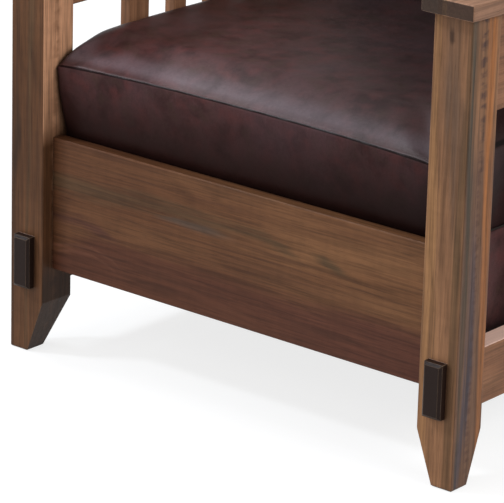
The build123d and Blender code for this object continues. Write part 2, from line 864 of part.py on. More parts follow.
# Butt hinges: the fixed leaves lie on the rear apron with the outer knuckles,
# the moving leaves hold the middle knuckles, and a pin runs through both
side_knuckle = (hinge_length - hinge_middle_knuckle) / 2 - hinge_knuckle_gap
with BuildPart() as fixed_leaves:
    for spot in hinge_spots:
        with Locations((spot, pivot_y, apron_top)):
            Box(
                hinge_length,
                hinge_fixed_reach,
                hinge_leaf,
                align=(Align.CENTER, Align.MIN, Align.MIN),
            )
        with Locations((spot, pivot_y, pivot_z)):
            Box(
                hinge_middle_knuckle + 2 * hinge_knuckle_gap,
                2 * (hinge_radius + running_gap),
                2 * (hinge_radius + running_gap),
                mode=Mode.SUBTRACT,
            )
        for share in (-1, 1):
            start = spot + share * hinge_length / 2
            with BuildSketch(Plane.YZ.offset(start)):
                with Locations((pivot_y, pivot_z)):
                    Circle(hinge_radius)
            extrude(amount=-share * side_knuckle)
            with BuildSketch(Plane.YZ.offset(start)):
                with Locations((pivot_y, pivot_z)):
                    Circle(hinge_pin_radius)
            extrude(amount=-share * side_knuckle, mode=Mode.SUBTRACT)
    with Locations(*[(x, fixed_screw_y, apron_top + hinge_leaf) for x in hinge_screw_x]):
        screw_shape(hinge_screw_length, Mode.SUBTRACT)
keep(fixed_leaves, "hinge_fixed_leaves")

with BuildPart() as moving_leaves:
    for spot in hinge_spots:
        with BuildSketch(Plane.YZ.offset(spot - hinge_middle_knuckle / 2)):
            with Locations((pivot_y, pivot_z)):
                Circle(hinge_radius)
        extrude(amount=hinge_middle_knuckle)
        with BuildSketch(back_plane):
            with Locations((spot, stile_back + hinge_leaf / 2)):
                Rectangle(hinge_middle_knuckle, hinge_leaf)
        extrude(amount=hinge_radius + 2 * running_gap)
        with BuildSketch(back_plane.offset(hinge_radius + 2 * running_gap)):
            with Locations((spot, stile_back + hinge_leaf / 2)):
                Rectangle(hinge_length, hinge_leaf)
        extrude(amount=hinge_moving_reach - hinge_radius - 2 * running_gap)
        with BuildSketch(Plane.YZ.offset(spot - hinge_middle_knuckle / 2)):
            with Locations((pivot_y, pivot_z)):
                Circle(hinge_pin_radius + hinge_play)
        extrude(amount=hinge_middle_knuckle, mode=Mode.SUBTRACT)
    with Locations(moving_screw_plane):
        for x, up in moving_screws:
            with Locations(Location((x, up, 0), (180, 0, 0))):
                screw_shape(hinge_screw_length, Mode.SUBTRACT)
keep(moving_leaves, "hinge_moving_leaves")

with BuildPart() as hinge_pins:
    for spot in hinge_spots:
        with BuildSketch(Plane.YZ.offset(spot - hinge_length / 2)):
            with Locations((pivot_y, pivot_z)):
                Circle(hinge_pin_radius)
        extrude(amount=hinge_length)
keep(hinge_pins, "hinge_pins")

with BuildPart() as fixed_screws:
    with Locations(*[(x, fixed_screw_y, apron_top + hinge_leaf) for x in hinge_screw_x]):
        screw_shape(hinge_screw_length)
keep(fixed_screws, "hinge_screws_apron")

with BuildPart() as moving_leaf_screws:
    with Locations(moving_screw_plane):
        for x, up in moving_screws:
            with Locations(Location((x, up, 0), (180, 0, 0))):
                screw_shape(hinge_screw_length)
keep(moving_leaf_screws, "hinge_screws_back")

# Racks on the rear ends of the arms: a wedge that rises to the rear in level
# treads, each with an upright stop behind it that the bar leans against
tread_pitch = rack_run / (notch_count - 1)
tread_rise = tread_pitch * math.tan(math.radians(rack_rise_angle))
bar_y = front_y + bar_depth
bar_z = pivot_z + bar_height
rack_points = [
    (rack_end_y, arm_bottom_at(rack_end_y) + arm_thickness),
    (rack_front_y, arm_bottom_at(rack_front_y) + arm_thickness),
    (rack_front_y, bar_z - bar_gap),
]
for notch in range(notch_count):
    stop_y = bar_y + bar_gap + notch * tread_pitch
    tread_z = bar_z - bar_gap + notch * tread_rise
    rack_points.append((stop_y, tread_z))
    rack_points.append((stop_y, tread_z + tread_rise))
rack_points.append((rack_end_y, tread_z + tread_rise))
for side, sign in (("left", -1), ("right", 1)):
    with BuildPart() as rack:
        with BuildSketch(Plane.YZ.offset(sign * leg_centre - rack_width / 2)):
            with BuildLine():
                Polyline(*rack_points, close=True)
            make_face()
        extrude(amount=rack_width)
        with Locations(arm_under_plane.offset(sign * leg_centre)):
            for spot_x in rack_screw_x:
                with Locations(Location((spot_x, 0, 0), (90, 0, 0))):
                    screw_shape(rack_screw_length, Mode.SUBTRACT)
    keep(rack, f"notched_rack_{side}")

with BuildPart() as rack_screws:
    for sign in (-1, 1):
        with Locations(arm_under_plane.offset(sign * leg_centre)):
            for spot_x in rack_screw_x:
                with Locations(Location((spot_x, 0, 0), (90, 0, 0))):
                    screw_shape(rack_screw_length)
keep(rack_screws, "rack_screws")

# Adjusting bar behind the stiles, lying across both racks
bar_half = leg_centre + rack_width / 2 + bar_end_overhang
with BuildPart() as adjusting_bar:
    with BuildSketch(Plane.YZ.offset(-bar_half)):
        with Locations((bar_y, bar_z)):
            Circle(bar_radius)
    extrude(amount=2 * bar_half)
    chamfer(adjusting_bar.edges().filter_by(GeomType.CIRCLE), bar_end_chamfer)
keep(adjusting_bar, "adjusting_bar")
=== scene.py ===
import bpy
import math
import numpy as np
from mathutils import Matrix, Vector


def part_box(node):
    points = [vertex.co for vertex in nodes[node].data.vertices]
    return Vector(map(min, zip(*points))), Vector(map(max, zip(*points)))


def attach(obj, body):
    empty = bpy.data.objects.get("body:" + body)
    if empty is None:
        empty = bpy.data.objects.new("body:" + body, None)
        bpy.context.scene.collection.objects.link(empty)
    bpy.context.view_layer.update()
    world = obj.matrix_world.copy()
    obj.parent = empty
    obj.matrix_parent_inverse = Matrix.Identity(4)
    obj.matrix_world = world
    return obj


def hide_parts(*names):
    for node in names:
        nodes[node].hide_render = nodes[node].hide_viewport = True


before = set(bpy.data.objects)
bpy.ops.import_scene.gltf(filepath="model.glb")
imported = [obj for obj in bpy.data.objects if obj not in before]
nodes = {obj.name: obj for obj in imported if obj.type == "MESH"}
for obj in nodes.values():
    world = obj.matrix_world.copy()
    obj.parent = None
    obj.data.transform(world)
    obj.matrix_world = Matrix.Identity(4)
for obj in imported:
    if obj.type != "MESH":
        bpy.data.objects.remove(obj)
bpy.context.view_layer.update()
print("stage: frame loaded,", len(nodes), "nodes")


# colours and shader sums

def shade(red, green, blue):
    # a screen colour, 0 to 255, as the linear light that a shader wants
    parts = [channel / 255 for channel in (red, green, blue)]
    return tuple(c / 12.92 if c <= 0.04045 else ((c + 0.055) / 1.055) ** 2.4 for c in parts)


class Wire:
    # wraps one output socket, so that sums on it add Math nodes
    def __init__(self, net, socket):
        self.net = net
        self.socket = socket

    def sum(self, operation, first, second):
        return self.net.node("ShaderNodeMath", {"operation": operation}, {0: first, 1: second})

    def __add__(self, other):
        return self.sum("ADD", self, other)

    def __radd__(self, other):
        return self.sum("ADD", other, self)

    def __sub__(self, other):
        return self.sum("SUBTRACT", self, other)

    def __rsub__(self, other):
        return self.sum("SUBTRACT", other, self)

    def __mul__(self, other):
        return self.sum("MULTIPLY", self, other)

    def __rmul__(self, other):
        return self.sum("MULTIPLY", other, self)

    def __truediv__(self, other):
        return self.sum("DIVIDE", self, other)

    def __pow__(self, other):
        return self.sum("POWER", self, other)

    def high(self, other):
        return self.sum("MAXIMUM", self, other)

    def size(self):
        return self.sum("ABSOLUTE", self, 0)

    def wave(self):
        return self.sum("SINE", self, 0)

    def rise(self, start, end):
        # 0 below start, 1 above end, and a smooth step between them
        return self.net.node(
            "ShaderNodeMapRange",
            {"interpolation_type": "SMOOTHSTEP"},
            {"Value": self, "From Min": start, "From Max": end},
        )


class Net:
    # one node tree and the method that adds nodes to it
    def __init__(self, tree):
        self.tree = tree

    def node(self, kind, settings, values, out=0):
        made = self.tree.nodes.new(kind)
        for key, value in settings.items():
            if key == "stops":
                ramp = made.color_ramp
                while len(ramp.elements) < len(value):
                    ramp.elements.new(0.5)
                for element, (place, colour) in zip(ramp.elements, value):
                    element.position = place
                    element.color = (*colour, 1.0)
            else:
                setattr(made, key, value)
        for key, value in values.items():
            socket = made.inputs[key]
            if isinstance(value, Wire):
                self.tree.links.new(value.socket, socket)
            elif isinstance(value, tuple) and len(value) == 3 and socket.type == "RGBA":
                socket.default_value = (*value, 1.0)
            else:
                socket.default_value = value
        return Wire(self, made.outputs[out])

    def path(self, ray):
        return self.node("ShaderNodeLightPath", {}, {}, ray)

    def show(self, wire, output):
        self.tree.links.new(wire.socket, self.tree.nodes[output].inputs["Surface"])


class Paint(Net):
    # one material: its tree, its shader and the nodes that feed it
    def __init__(self, name, **fixed):
        self.material = bpy.data.materials.new(name)
        self.material.use_nodes = True
        super().__init__(self.material.node_tree)
        self.shader = self.tree.nodes["Principled BSDF"]
        for socket, value in fixed.items():
            self.shader.inputs[socket.replace("_", " ")].default_value = value

    def feed(self, socket, wire):
        self.tree.links.new(wire.socket, self.shader.inputs[socket])

    def place(self):
        return self.node("ShaderNodeTexCoord", {}, {}, "Object")

    def facing(self):
        return self.node("ShaderNodeTexCoord", {}, {}, "Normal")

    def split(self, vector):
        made = self.tree.nodes.new("ShaderNodeSeparateXYZ")
        self.tree.links.new(vector.socket, made.inputs[0])
        return [Wire(self, made.outputs[i]) for i in range(3)]

    def vector(self, x, y, z):
        return self.node("ShaderNodeCombineXYZ", {}, {0: x, 1: y, 2: z})

    def noise(self, vector, scale, detail=2.0, rough=0.5, twist=0.0):
        return self.node(
            "ShaderNodeTexNoise",
            {},
            {"Vector": vector, "Scale": scale, "Detail": detail, "Roughness": rough,
             "Distortion": twist},
        )

    def blend(self, factor, first, second):
        # factor 0 gives the first colour and 1 the second
        return self.node(
            "ShaderNodeMix", {"data_type": "RGBA"}, {0: factor, 6: first, 7: second}, 2
        )

    def scaled(self, colour, tone):
        return self.node(
            "ShaderNodeVectorMath", {"operation": "SCALE"}, {0: colour, "Scale": tone}
        )

    def closeness(self, reach):
        # 0 in the open and 1 where other surfaces stand close
        return 1.0 - self.node(
            "ShaderNodeAmbientOcclusion", {"samples": 4}, {"Distance": reach}, "AO"
        )

    def bump(self, height, strength, distance, under=None):
        values = {"Strength": strength, "Distance": distance, "Height": height}
        if under is not None:
            values["Normal"] = under
        return self.node("ShaderNodeBump", {}, values)


# wood

woodLook = {
    "ior": 1.42,
    "gloss": 0.18,
    "roughness": 0.43,
    "ringsPerMetre": 105.0,
    "pithAcross": 0.13,
    "pithUp": 0.42,
    "pithStep": (0.013, 0.021),
    "warp": 0.055,
    "sway": 0.008,
    "figureScale": (26, 90),
    "dotScale": 700.0,
    "grainDepth": 0.0003,
    "grainStrength": 0.4,
    "easedEdge": 0.0016,
    "paintedShadeReach": 0.012,
    "edgeWearHighlight": shade(222, 188, 156),
    "paintedShadeDark": shade(40, 24, 18),
    "topHighlight": shade(255, 216, 198),
    "endGrain": (shade(30, 22, 18), shade(70, 53, 45)),
    "tenonEnd": (shade(22, 9, 6), shade(46, 31, 25)),
}

# each noise's scale along the grain and across it, detail, roughness, offset
woodNoise = {
    "warp": (2.2, 8.0, 3.0, 0.55, 3.1),
    "sway": (7.0, 34.0, 2.0, 0.55, 7.7),
    "cloud": (3.4, 22.0, 4.0, 0.6, 1.3),
    "broad": (1.3, 8.0, 2.0, 0.55, 5.9),
    "fibre": (18.0, 640.0, 3.0, 0.6, 0.0),
    "streak": (4.0, 120.0, 3.0, 0.65, 9.2),
    "line": (6.0, 250.0, 3.0, 0.6, 2.6),
    "pores": (55.0, 1150.0, 1.0, 0.5, 4.4),
}


def addVein(paint, colour, xyz, facing, sway, streak, vein):
    # a band about a line that runs along the grain: a ramp holds the line's
    # place, half width and strength from end to end, and the distance from the
    # line, bent and frayed by the wood's own noises, fades the band out
    line = np.array(vein["line"])
    along = xyz["XYZ".index(vein["along"])]
    cross = xyz["XYZ".index(vein["cross"])]
    start, end = line[0, 0], line[-1, 0]
    low, span = line[:, 1].min(), max(np.ptp(line[:, 1]), 1e-4)
    widest = line[:, 2].max()
    stops = [
        ((a - start) / (end - start), ((c - low) / span, width / widest, strength))
        for a, c, width, strength in line
    ]
    place = paint.node(
        "ShaderNodeMapRange", {}, {"Value": along, "From Min": start, "From Max": end}
    )
    ramp = paint.node("ShaderNodeValToRGB", {"stops": stops}, {"Fac": place})
    centre, width, strength = [
        paint.node("ShaderNodeSeparateColor", {}, {"Color": ramp}, channel) for channel in range(3)
    ]
    away = (cross - (centre * span + low) + sway * vein.get("sway", 0.006)).size()
    away = away + (streak - 0.5) * vein.get("fray", 2.0 * widest)
    band = 1.0 - (away / (width * widest + 1e-5)).rise(vein.get("core", 0.0), 1.15)
    band = band * strength
    if "face" in vein:
        axis, sign = vein["face"]
        band = band * (facing["XYZ".index(axis)] * sign).rise(0.4, 0.6)
    if "marks" in vein:
        # short dark marks across the band, as curled grain shows them
        ticks = paint.noise(paint.vector(along * vein["marks"], cross * 40, 0.0), 1.0, 2.0)
        band = band * ticks.rise(0.42, 0.6)
    return paint.blend(band, colour, vein["colour"])


def makeWood(name, grain, light, middle, dark, seed=0.0, lean=0.0, rings=1.0, veins=(),
             stained=None, deepStreaks=0.55, edgeRubAndSheen=0.55, paintedTopHighlight=None):
    # rings are the distance from a pith beside the board, bent by slow noise;
    # fibres and pores are noise drawn out far along the grain
    look = woodLook
    paint = Paint(name, IOR=look["ior"], Specular_IOR_Level=look["gloss"])
    place, facing = paint.place(), paint.facing()
    if lean:
        place, facing = [
            paint.node(
                "ShaderNodeVectorRotate", {"rotation_type": "X_AXIS"},
                {"Vector": vector, "Angle": math.radians(lean)},
            )
            for vector in (place, facing)
        ]
    xyz, facing = paint.split(place), paint.split(facing)
    along = xyz["XYZ".index(grain)]
    across, up = [xyz[i] for i in range(3) if "XYZ"[i] != grain]
    shift = seed * 1.37

    def stretched(kind):
        alongScale, acrossScale, detail, rough, offset = woodNoise[kind]
        spot = paint.vector(
            along * alongScale + (shift + offset),
            across * acrossScale + shift,
            up * acrossScale - offset,
        )
        return paint.noise(spot, 1.0, detail, rough)

    warp = stretched("warp") - 0.5
    sway = stretched("sway") - 0.5
    stepAcross, stepUp = look["pithStep"]
    fromPithA = across + (look["pithAcross"] + stepAcross * seed)
    fromPithB = up - (look["pithUp"] - stepUp * seed)
    distance = (fromPithA * fromPithA + fromPithB * fromPithB) ** 0.5
    bent = distance + warp * look["warp"] + sway * look["sway"]
    ring = bent * (look["ringsPerMetre"] * rings)
    late = ((ring * (2 * math.pi)).wave() * 0.5 + 0.5) ** 3.0
    cloud, broad, fibre, streak, line, pores = [
        stretched(kind) for kind in ("cloud", "broad", "fibre", "streak", "line", "pores")
    ]
    pores = pores.rise(0.6, 0.7)
    figureAcross, figureAlong = look["figureScale"]
    figure = paint.noise(
        paint.vector(across * figureAcross, up * figureAcross, along * figureAlong + shift),
        1.0, 2.0, 0.5,
    )

    colour = paint.blend(cloud.rise(0.34, 0.66), middle, light)
    colour = paint.blend(broad.rise(0.46, 0.7) * 0.6, colour, dark)
    for entry in veins:
        colour = addVein(paint, colour, xyz, facing, sway, streak, entry)
    colour = paint.blend(streak.rise(0.5, 0.72) * deepStreaks, colour, dark)
    tone = 0.74 + fibre * 0.52 - pores * 0.18 + (figure - 0.5) * 0.22
    tone = tone * (1.16 - late * 0.16 - line.rise(0.42, 0.62) * 0.3)
    colour = paint.scaled(colour, tone)
    if paintedTopHighlight:
        # painted highlight: the rail's top face between the given heights is painted paler
        low, high = paintedTopHighlight
        topHighlight = facing[2].rise(0.6, 0.8) * xyz[2].rise(low, high)
        topHighlight = topHighlight * (1.0 - xyz[2].rise(high + 0.02, high + 0.03))
        colour = paint.blend(topHighlight * 0.95, colour, paint.scaled(look["topHighlight"], 0.8 + fibre * 0.4))
    # end grain drinks more stain, so it is darker and closer in texture
    endGrain = facing["XYZ".index(grain)].size().rise(0.8, 0.95) * 0.9
    dots = paint.noise(place, look["dotScale"], 2.0)
    endColour = paint.blend(dots, *look["endGrain"])
    if stained:
        # a through tenon's whole end block is stained darker still
        axis, edge = stained
        proud = (xyz["XYZ".index(axis)] * -1.0).rise(edge - 0.0004, edge + 0.0004)
        endGrain = endGrain.high(proud)
        endColour = paint.blend(proud, endColour, paint.blend(dots, *look["tenonEnd"]))
    colour = paint.blend(endGrain, colour, endColour)
    # eased edges are painted lighter: a painted highlight along them, with some wear
    rounded = paint.node("ShaderNodeBevel", {"samples": 4}, {"Radius": look["easedEdge"]})
    flat = paint.node("ShaderNodeNewGeometry", {}, {}, "True Normal")
    turn = paint.node("ShaderNodeVectorMath", {"operation": "DOT_PRODUCT"},
                      {0: rounded, 1: flat}, "Value")
    rubAndSheen = (1.0 - turn).rise(0.01, 0.2) * (0.35 + cloud * 0.5)
    colour = paint.blend(rubAndSheen * edgeRubAndSheen, colour, look["edgeWearHighlight"])
    # painted shade: the wood is painted darker wherever other surfaces stand close, as in joints,
    # corners and under parts
    close = paint.closeness(look["paintedShadeReach"])
    colour = paint.blend(close.rise(0.35, 0.85) * 0.8, colour, look["paintedShadeDark"])
    paint.feed("Base Color", colour)
    paint.feed("Roughness", look["roughness"] + (fibre - 0.5) * 0.18 + pores * 0.1)
    relief = fibre * 0.5 - pores * 0.7 + late * 0.25
    paint.feed("Normal", paint.bump(relief, look["grainStrength"], look["grainDepth"], rounded))
    return paint.material


# light, middle and dark tone of each wood
legTones = (shade(170, 124, 90), shade(150, 108, 78), shade(106, 76, 56))
leftLegTones = (shade(118, 80, 54), shade(100, 67, 44), shade(66, 44, 31))
apronTones = (shade(128, 89, 60), shade(112, 75, 50), shade(76, 48, 36))
railTones = (shade(164, 118, 88), shade(146, 102, 75), shade(102, 71, 54))
armTones = (shade(186, 142, 114), shade(168, 126, 102), shade(118, 86, 68))
innerTones = (shade(206, 176, 136), shade(190, 158, 118), shade(160, 126, 90))
greenGrey = shade(88, 68, 48)
slateGrey = shade(92, 76, 66)
redBrown = shade(88, 51, 41)
thinBrown = shade(112, 72, 56)
paleStraw = shade(166, 122, 82)
orange = shade(176, 112, 64)


# each vein's line lists place along the grain, place across, half width, strength

def apronVein(colour, line, **more):
    return {"along": "X", "cross": "Z", "colour": colour, "line": line, **more}


def frontVein(colour, line, **more):
    return {"along": "Z", "cross": "X", "face": ("Y", -1), "colour": colour, "line": line, **more}


def sideVein(colour, line, **more):
    return {"along": "Z", "cross": "Y", "face": ("X", 1), "colour": colour, "line": line, **more}


def level(centre, half, *steps):
    # a line of one place across and one half width, with a strength at each
    # place along
    return [(along, centre, half, strength) for along, strength in steps]


apronVeins = [
    apronVein(redBrown, [
        (-0.312, 0.092, 0.055, 0.8), (-0.27, 0.101, 0.065, 0.85), (-0.236, 0.112, 0.07, 0.85),
        (-0.183, 0.116, 0.07, 0.8), (0.02, 0.117, 0.07, 0.75), (0.095, 0.113, 0.071, 0.8),
        (0.19, 0.114, 0.074, 0.85), (0.312, 0.114, 0.073, 0.9),
    ], sway=0.02, core=0.7, fray=0.04),
    apronVein(shade(78, 44, 28), level(
        0.2, 0.16, (-0.312, 0.62), (-0.2, 0.5), (0.02, 0.25), (0.12, 0.0),
    ), sway=0.02, core=0.6, fray=0.04),
    apronVein(greenGrey, [
        (-0.312, 0.244, 0.015, 0.7), (-0.254, 0.242, 0.017, 0.65), (-0.209, 0.241, 0.015, 0.6),
        (-0.15, 0.249, 0.013, 0.5), (-0.099, 0.249, 0.015, 0.6), (-0.032, 0.244, 0.014, 0.65),
        (0.017, 0.249, 0.013, 0.6), (0.05, 0.247, 0.013, 0.7), (0.083, 0.238, 0.011, 0.7),
        (0.118, 0.229, 0.003, 0.0),
    ], sway=0.012),
    apronVein(slateGrey, [
        (-0.14, 0.231, 0.002, 0.0), (-0.1, 0.236, 0.006, 0.7), (-0.045, 0.235, 0.008, 0.7),
        (0.01, 0.231, 0.004, 0.0),
    ]),
    apronVein(greenGrey, [
        (0.12, 0.246, 0.004, 0.0), (0.145, 0.241, 0.009, 0.85), (0.168, 0.233, 0.01, 0.8),
        (0.19, 0.226, 0.004, 0.0),
    ]),
    apronVein(shade(82, 50, 42), [
        (-0.312, 0.196, 0.006, 0.7), (-0.262, 0.197, 0.01, 0.8), (-0.228, 0.191, 0.012, 0.8),
        (-0.19, 0.178, 0.004, 0.0),
    ], sway=0.01),
    apronVein(thinBrown, [
        (-0.312, 0.152, 0.003, 0.4), (-0.28, 0.16, 0.003, 0.5), (-0.24, 0.163, 0.003, 0.5),
        (-0.205, 0.155, 0.003, 0.4), (-0.185, 0.143, 0.002, 0.0),
    ]),
    apronVein(thinBrown, [
        (-0.312, 0.143, 0.003, 0.3), (-0.28, 0.152, 0.003, 0.45), (-0.24, 0.154, 0.003, 0.45),
        (-0.21, 0.146, 0.003, 0.3), (-0.19, 0.134, 0.002, 0.0),
    ]),
]
rightLegVeins = [
    sideVein(shade(104, 78, 65), level(-0.45, 0.05, (0.0, 0.75), (0.4, 0.8), (0.5, 0.0)),
             core=0.8, fray=0.02),
    frontVein(paleStraw, [
        (0.02, 0.322, 0.012, 0.5), (0.24, 0.322, 0.016, 0.75), (0.37, 0.321, 0.014, 0.75),
        (0.44, 0.318, 0.008, 0.6), (0.6, 0.314, 0.006, 0.6),
    ], sway=0.01),
    frontVein(slateGrey, [
        (0.29, 0.353, 0.01, 0.0), (0.35, 0.35, 0.01, 0.5), (0.43, 0.35, 0.012, 0.55),
        (0.49, 0.345, 0.018, 0.6), (0.52, 0.34, 0.016, 0.55), (0.56, 0.34, 0.012, 0.3),
    ], sway=0.012),
    frontVein(greenGrey, [
        (0.02, 0.362, 0.01, 0.5), (0.16, 0.36, 0.011, 0.75), (0.28, 0.361, 0.012, 0.8),
        (0.38, 0.363, 0.009, 0.7), (0.48, 0.367, 0.006, 0.5), (0.6, 0.368, 0.004, 0.3),
    ], sway=0.008),
    frontVein(shade(64, 44, 34), [
        (0.56, 0.3398, 0.001, 0.0), (0.567, 0.3398, 0.0045, 0.8), (0.576, 0.339, 0.005, 0.8),
        (0.584, 0.3398, 0.002, 0.0),
    ], sway=0.002),
    sideVein(shade(74, 68, 58), [
        (0.2, -0.4705, 0.006, 0.6), (0.26, -0.469, 0.008, 0.85), (0.38, -0.4705, 0.009, 0.9),
        (0.46, -0.4715, 0.008, 0.9), (0.6, -0.4725, 0.008, 0.95),
    ]),
    sideVein(shade(76, 70, 78), [
        (0.0, -0.468, 0.006, 0.6), (0.06, -0.463, 0.009, 0.8), (0.15, -0.454, 0.011, 0.9),
        (0.22, -0.4535, 0.01, 0.85), (0.3, -0.456, 0.006, 0.6), (0.36, -0.458, 0.003, 0.0),
    ], sway=0.008),
    sideVein(orange, [
        (0.17, -0.43, 0.008, 0.6), (0.34, -0.433, 0.011, 0.85), (0.46, -0.4345, 0.011, 0.9),
        (0.6, -0.437, 0.011, 0.9),
    ]),
    sideVein(shade(80, 56, 50), [
        (0.36, -0.45, 0.006, 0.5), (0.4, -0.4495, 0.007, 0.95), (0.5, -0.4515, 0.008, 0.95),
        (0.6, -0.4545, 0.008, 0.95),
    ], sway=0.002, marks=95.0),
]
leftLegVeinsAndShadow = [
    frontVein(shade(70, 42, 23), level(
        -0.34, 0.035, (0.16, 0.0), (0.24, 0.5), (0.4, 0.55), (0.47, 0.0),
    ), core=0.6),
    frontVein(shade(58, 40, 28), [
        (0.2, -0.366, 0.005, 0.3), (0.26, -0.361, 0.009, 0.9), (0.3, -0.357, 0.011, 0.9),
        (0.34, -0.359, 0.008, 0.8), (0.38, -0.36, 0.006, 0.5), (0.42, -0.362, 0.003, 0.0),
    ], sway=0.01),
    frontVein(greenGrey, [
        (0.1, -0.342, 0.004, 0.4), (0.27, -0.336, 0.005, 0.6), (0.35, -0.337, 0.005, 0.6),
        (0.45, -0.335, 0.007, 0.6), (0.6, -0.337, 0.007, 0.6),
    ], sway=0.01),
    sideVein(shade(214, 160, 124), level(-0.45, 0.05, (0.29, 0.0), (0.32, 0.9), (0.6, 0.9)),
             core=0.9, fray=0.01),
    sideVein(shade(160, 114, 84), [
        (0.34, -0.455, 0.009, 0.6), (0.6, -0.454, 0.01, 0.7),
    ], marks=60.0),
    # painted shadow: the foot's inner side face below the apron is darkened
    sideVein(shade(60, 45, 37), level(
        -0.45, 0.05, (0.0, 0.8), (0.1, 0.8), (0.13, 0.4), (0.16, 0.0),
    ), core=0.9, fray=0.01),
]


def armStavesShadeAndHighlight(sign):
    # the arm is glued up from staves, a grey one, a dark one and a thin bright
    # one beside the wide one: each from low to high across, as long as the arm;
    # the grey and dark staves are partly painted shade and the bright one partly
    # a painted highlight
    stavesShadeAndHighlight = [
        (0.3, 0.3262, shade(118, 110, 100), 0.55),
        (0.3262, 0.3324, shade(104, 74, 52), 0.6),
        (0.3326, 0.3392, shade(196, 150, 108), 0.85),
    ]
    return [
        {"along": "Y", "cross": "X", "colour": colour, "sway": 0.0, "core": 0.9, "fray": 0.0,
         "line": level(sign * (low + high) / 2, (high - low) / 2,
                       (-0.5, strength), (0.5, strength))}
        for low, high, colour, strength in stavesShadeAndHighlight
    ]


sideRailWood = makeWood("sideRailWood", "Y", *railTones, seed=9.0, stained=("Y", 0.4786),
                        paintedTopHighlight=(0.15, 0.16))
backWood = makeWood("backRailWood", "X", *railTones, seed=12.0)
innerWoodAcross = makeWood("innerWoodAcross", "X", *innerTones, seed=15.0)

# what the CAD nodes are made of: the first start that fits a node's name
coats = {
    "front_leg_left": makeWood("legWoodLeft", "Z", *leftLegTones, seed=1.0, veins=leftLegVeinsAndShadow),
    "front_leg_right": makeWood("legWoodRight", "Z", *legTones, seed=2.0, veins=rightLegVeins),
    "rear_leg_left": makeWood("rearLegWoodLeft", "Z", *legTones, seed=3.0),
    "rear_leg_right": makeWood("rearLegWoodRight", "Z", *legTones, seed=4.0),
    "front_apron": makeWood("apronWood", "X", *apronTones, seed=5.0, rings=1.1, veins=apronVeins,
                            deepStreaks=0.4, edgeRubAndSheen=1.0),
    "rear_apron": makeWood("rearApronWood", "X", *apronTones, seed=6.0, rings=1.1),
    "arm_left": makeWood("armWoodLeft", "Y", *armTones, seed=7.0, veins=armStavesShadeAndHighlight(-1)),
    "arm_right": makeWood("armWoodRight", "Y", *armTones, seed=8.0, veins=armStavesShadeAndHighlight(1)),
    "lower_side_rail": sideRailWood,
    "upper_side_rail": sideRailWood,
    "side_slat": makeWood("slatWood", "Z", *railTones, seed=10.0),
    "back_stile": makeWood("stileWood", "Z", *railTones, seed=11.0, lean=-16.0),
    "back_slat": backWood,
    "back_top_rail": backWood,
    "back_bottom_rail": backWood,
    "adjusting_bar": makeWood("barWood", "X", *legTones, seed=13.0),
    "notched_rack": makeWood("rackWood", "Y", *railTones, seed=14.0),
    "seat_front_rail": innerWoodAcross,
    "seat_rear_rail": innerWoodAcross,
    "front_seat_cleat": innerWoodAcross,
    "rear_seat_cleat": innerWoodAcross,
    "seat_side_rail": makeWood("innerWoodDeep", "Y", *innerTones, seed=16.0),
    "seat_corner_blocks": makeWood("innerWoodUp", "Z", *innerTones, seed=17.0),
}


# leather, cloth, filling and metal

leatherLook = {
    "ior": 1.4,
    "gloss": 0.05,
    "roughness": 0.4,
    "wax": 0.4,
    "waxRoughness": 0.36,
    "base": shade(90, 61, 61),
    "deep": shade(64, 41, 41),
    "red": shade(108, 60, 58),
    "olive": shade(80, 61, 53),
    "wornAndSheen": shade(102, 80, 86),
    "rubAndSheen": shade(124, 112, 120),
    "crease": shade(24, 6, 6),
    "shadow": shade(14, 6, 6),
    "boxingShade": shade(32, 13, 9),
    "boxingShadeStrength": 0.9,
    "rearDark": 0.76,
    "shadowReach": 0.1,
    "cellsPerMetre": 720.0,
    "grainDepth": 0.00022,
    "softDepth": 0.0014,
    "pullDepth": 0.0012,
    "pullReach": 0.028,
    "creaseHalf": 0.0012,
}


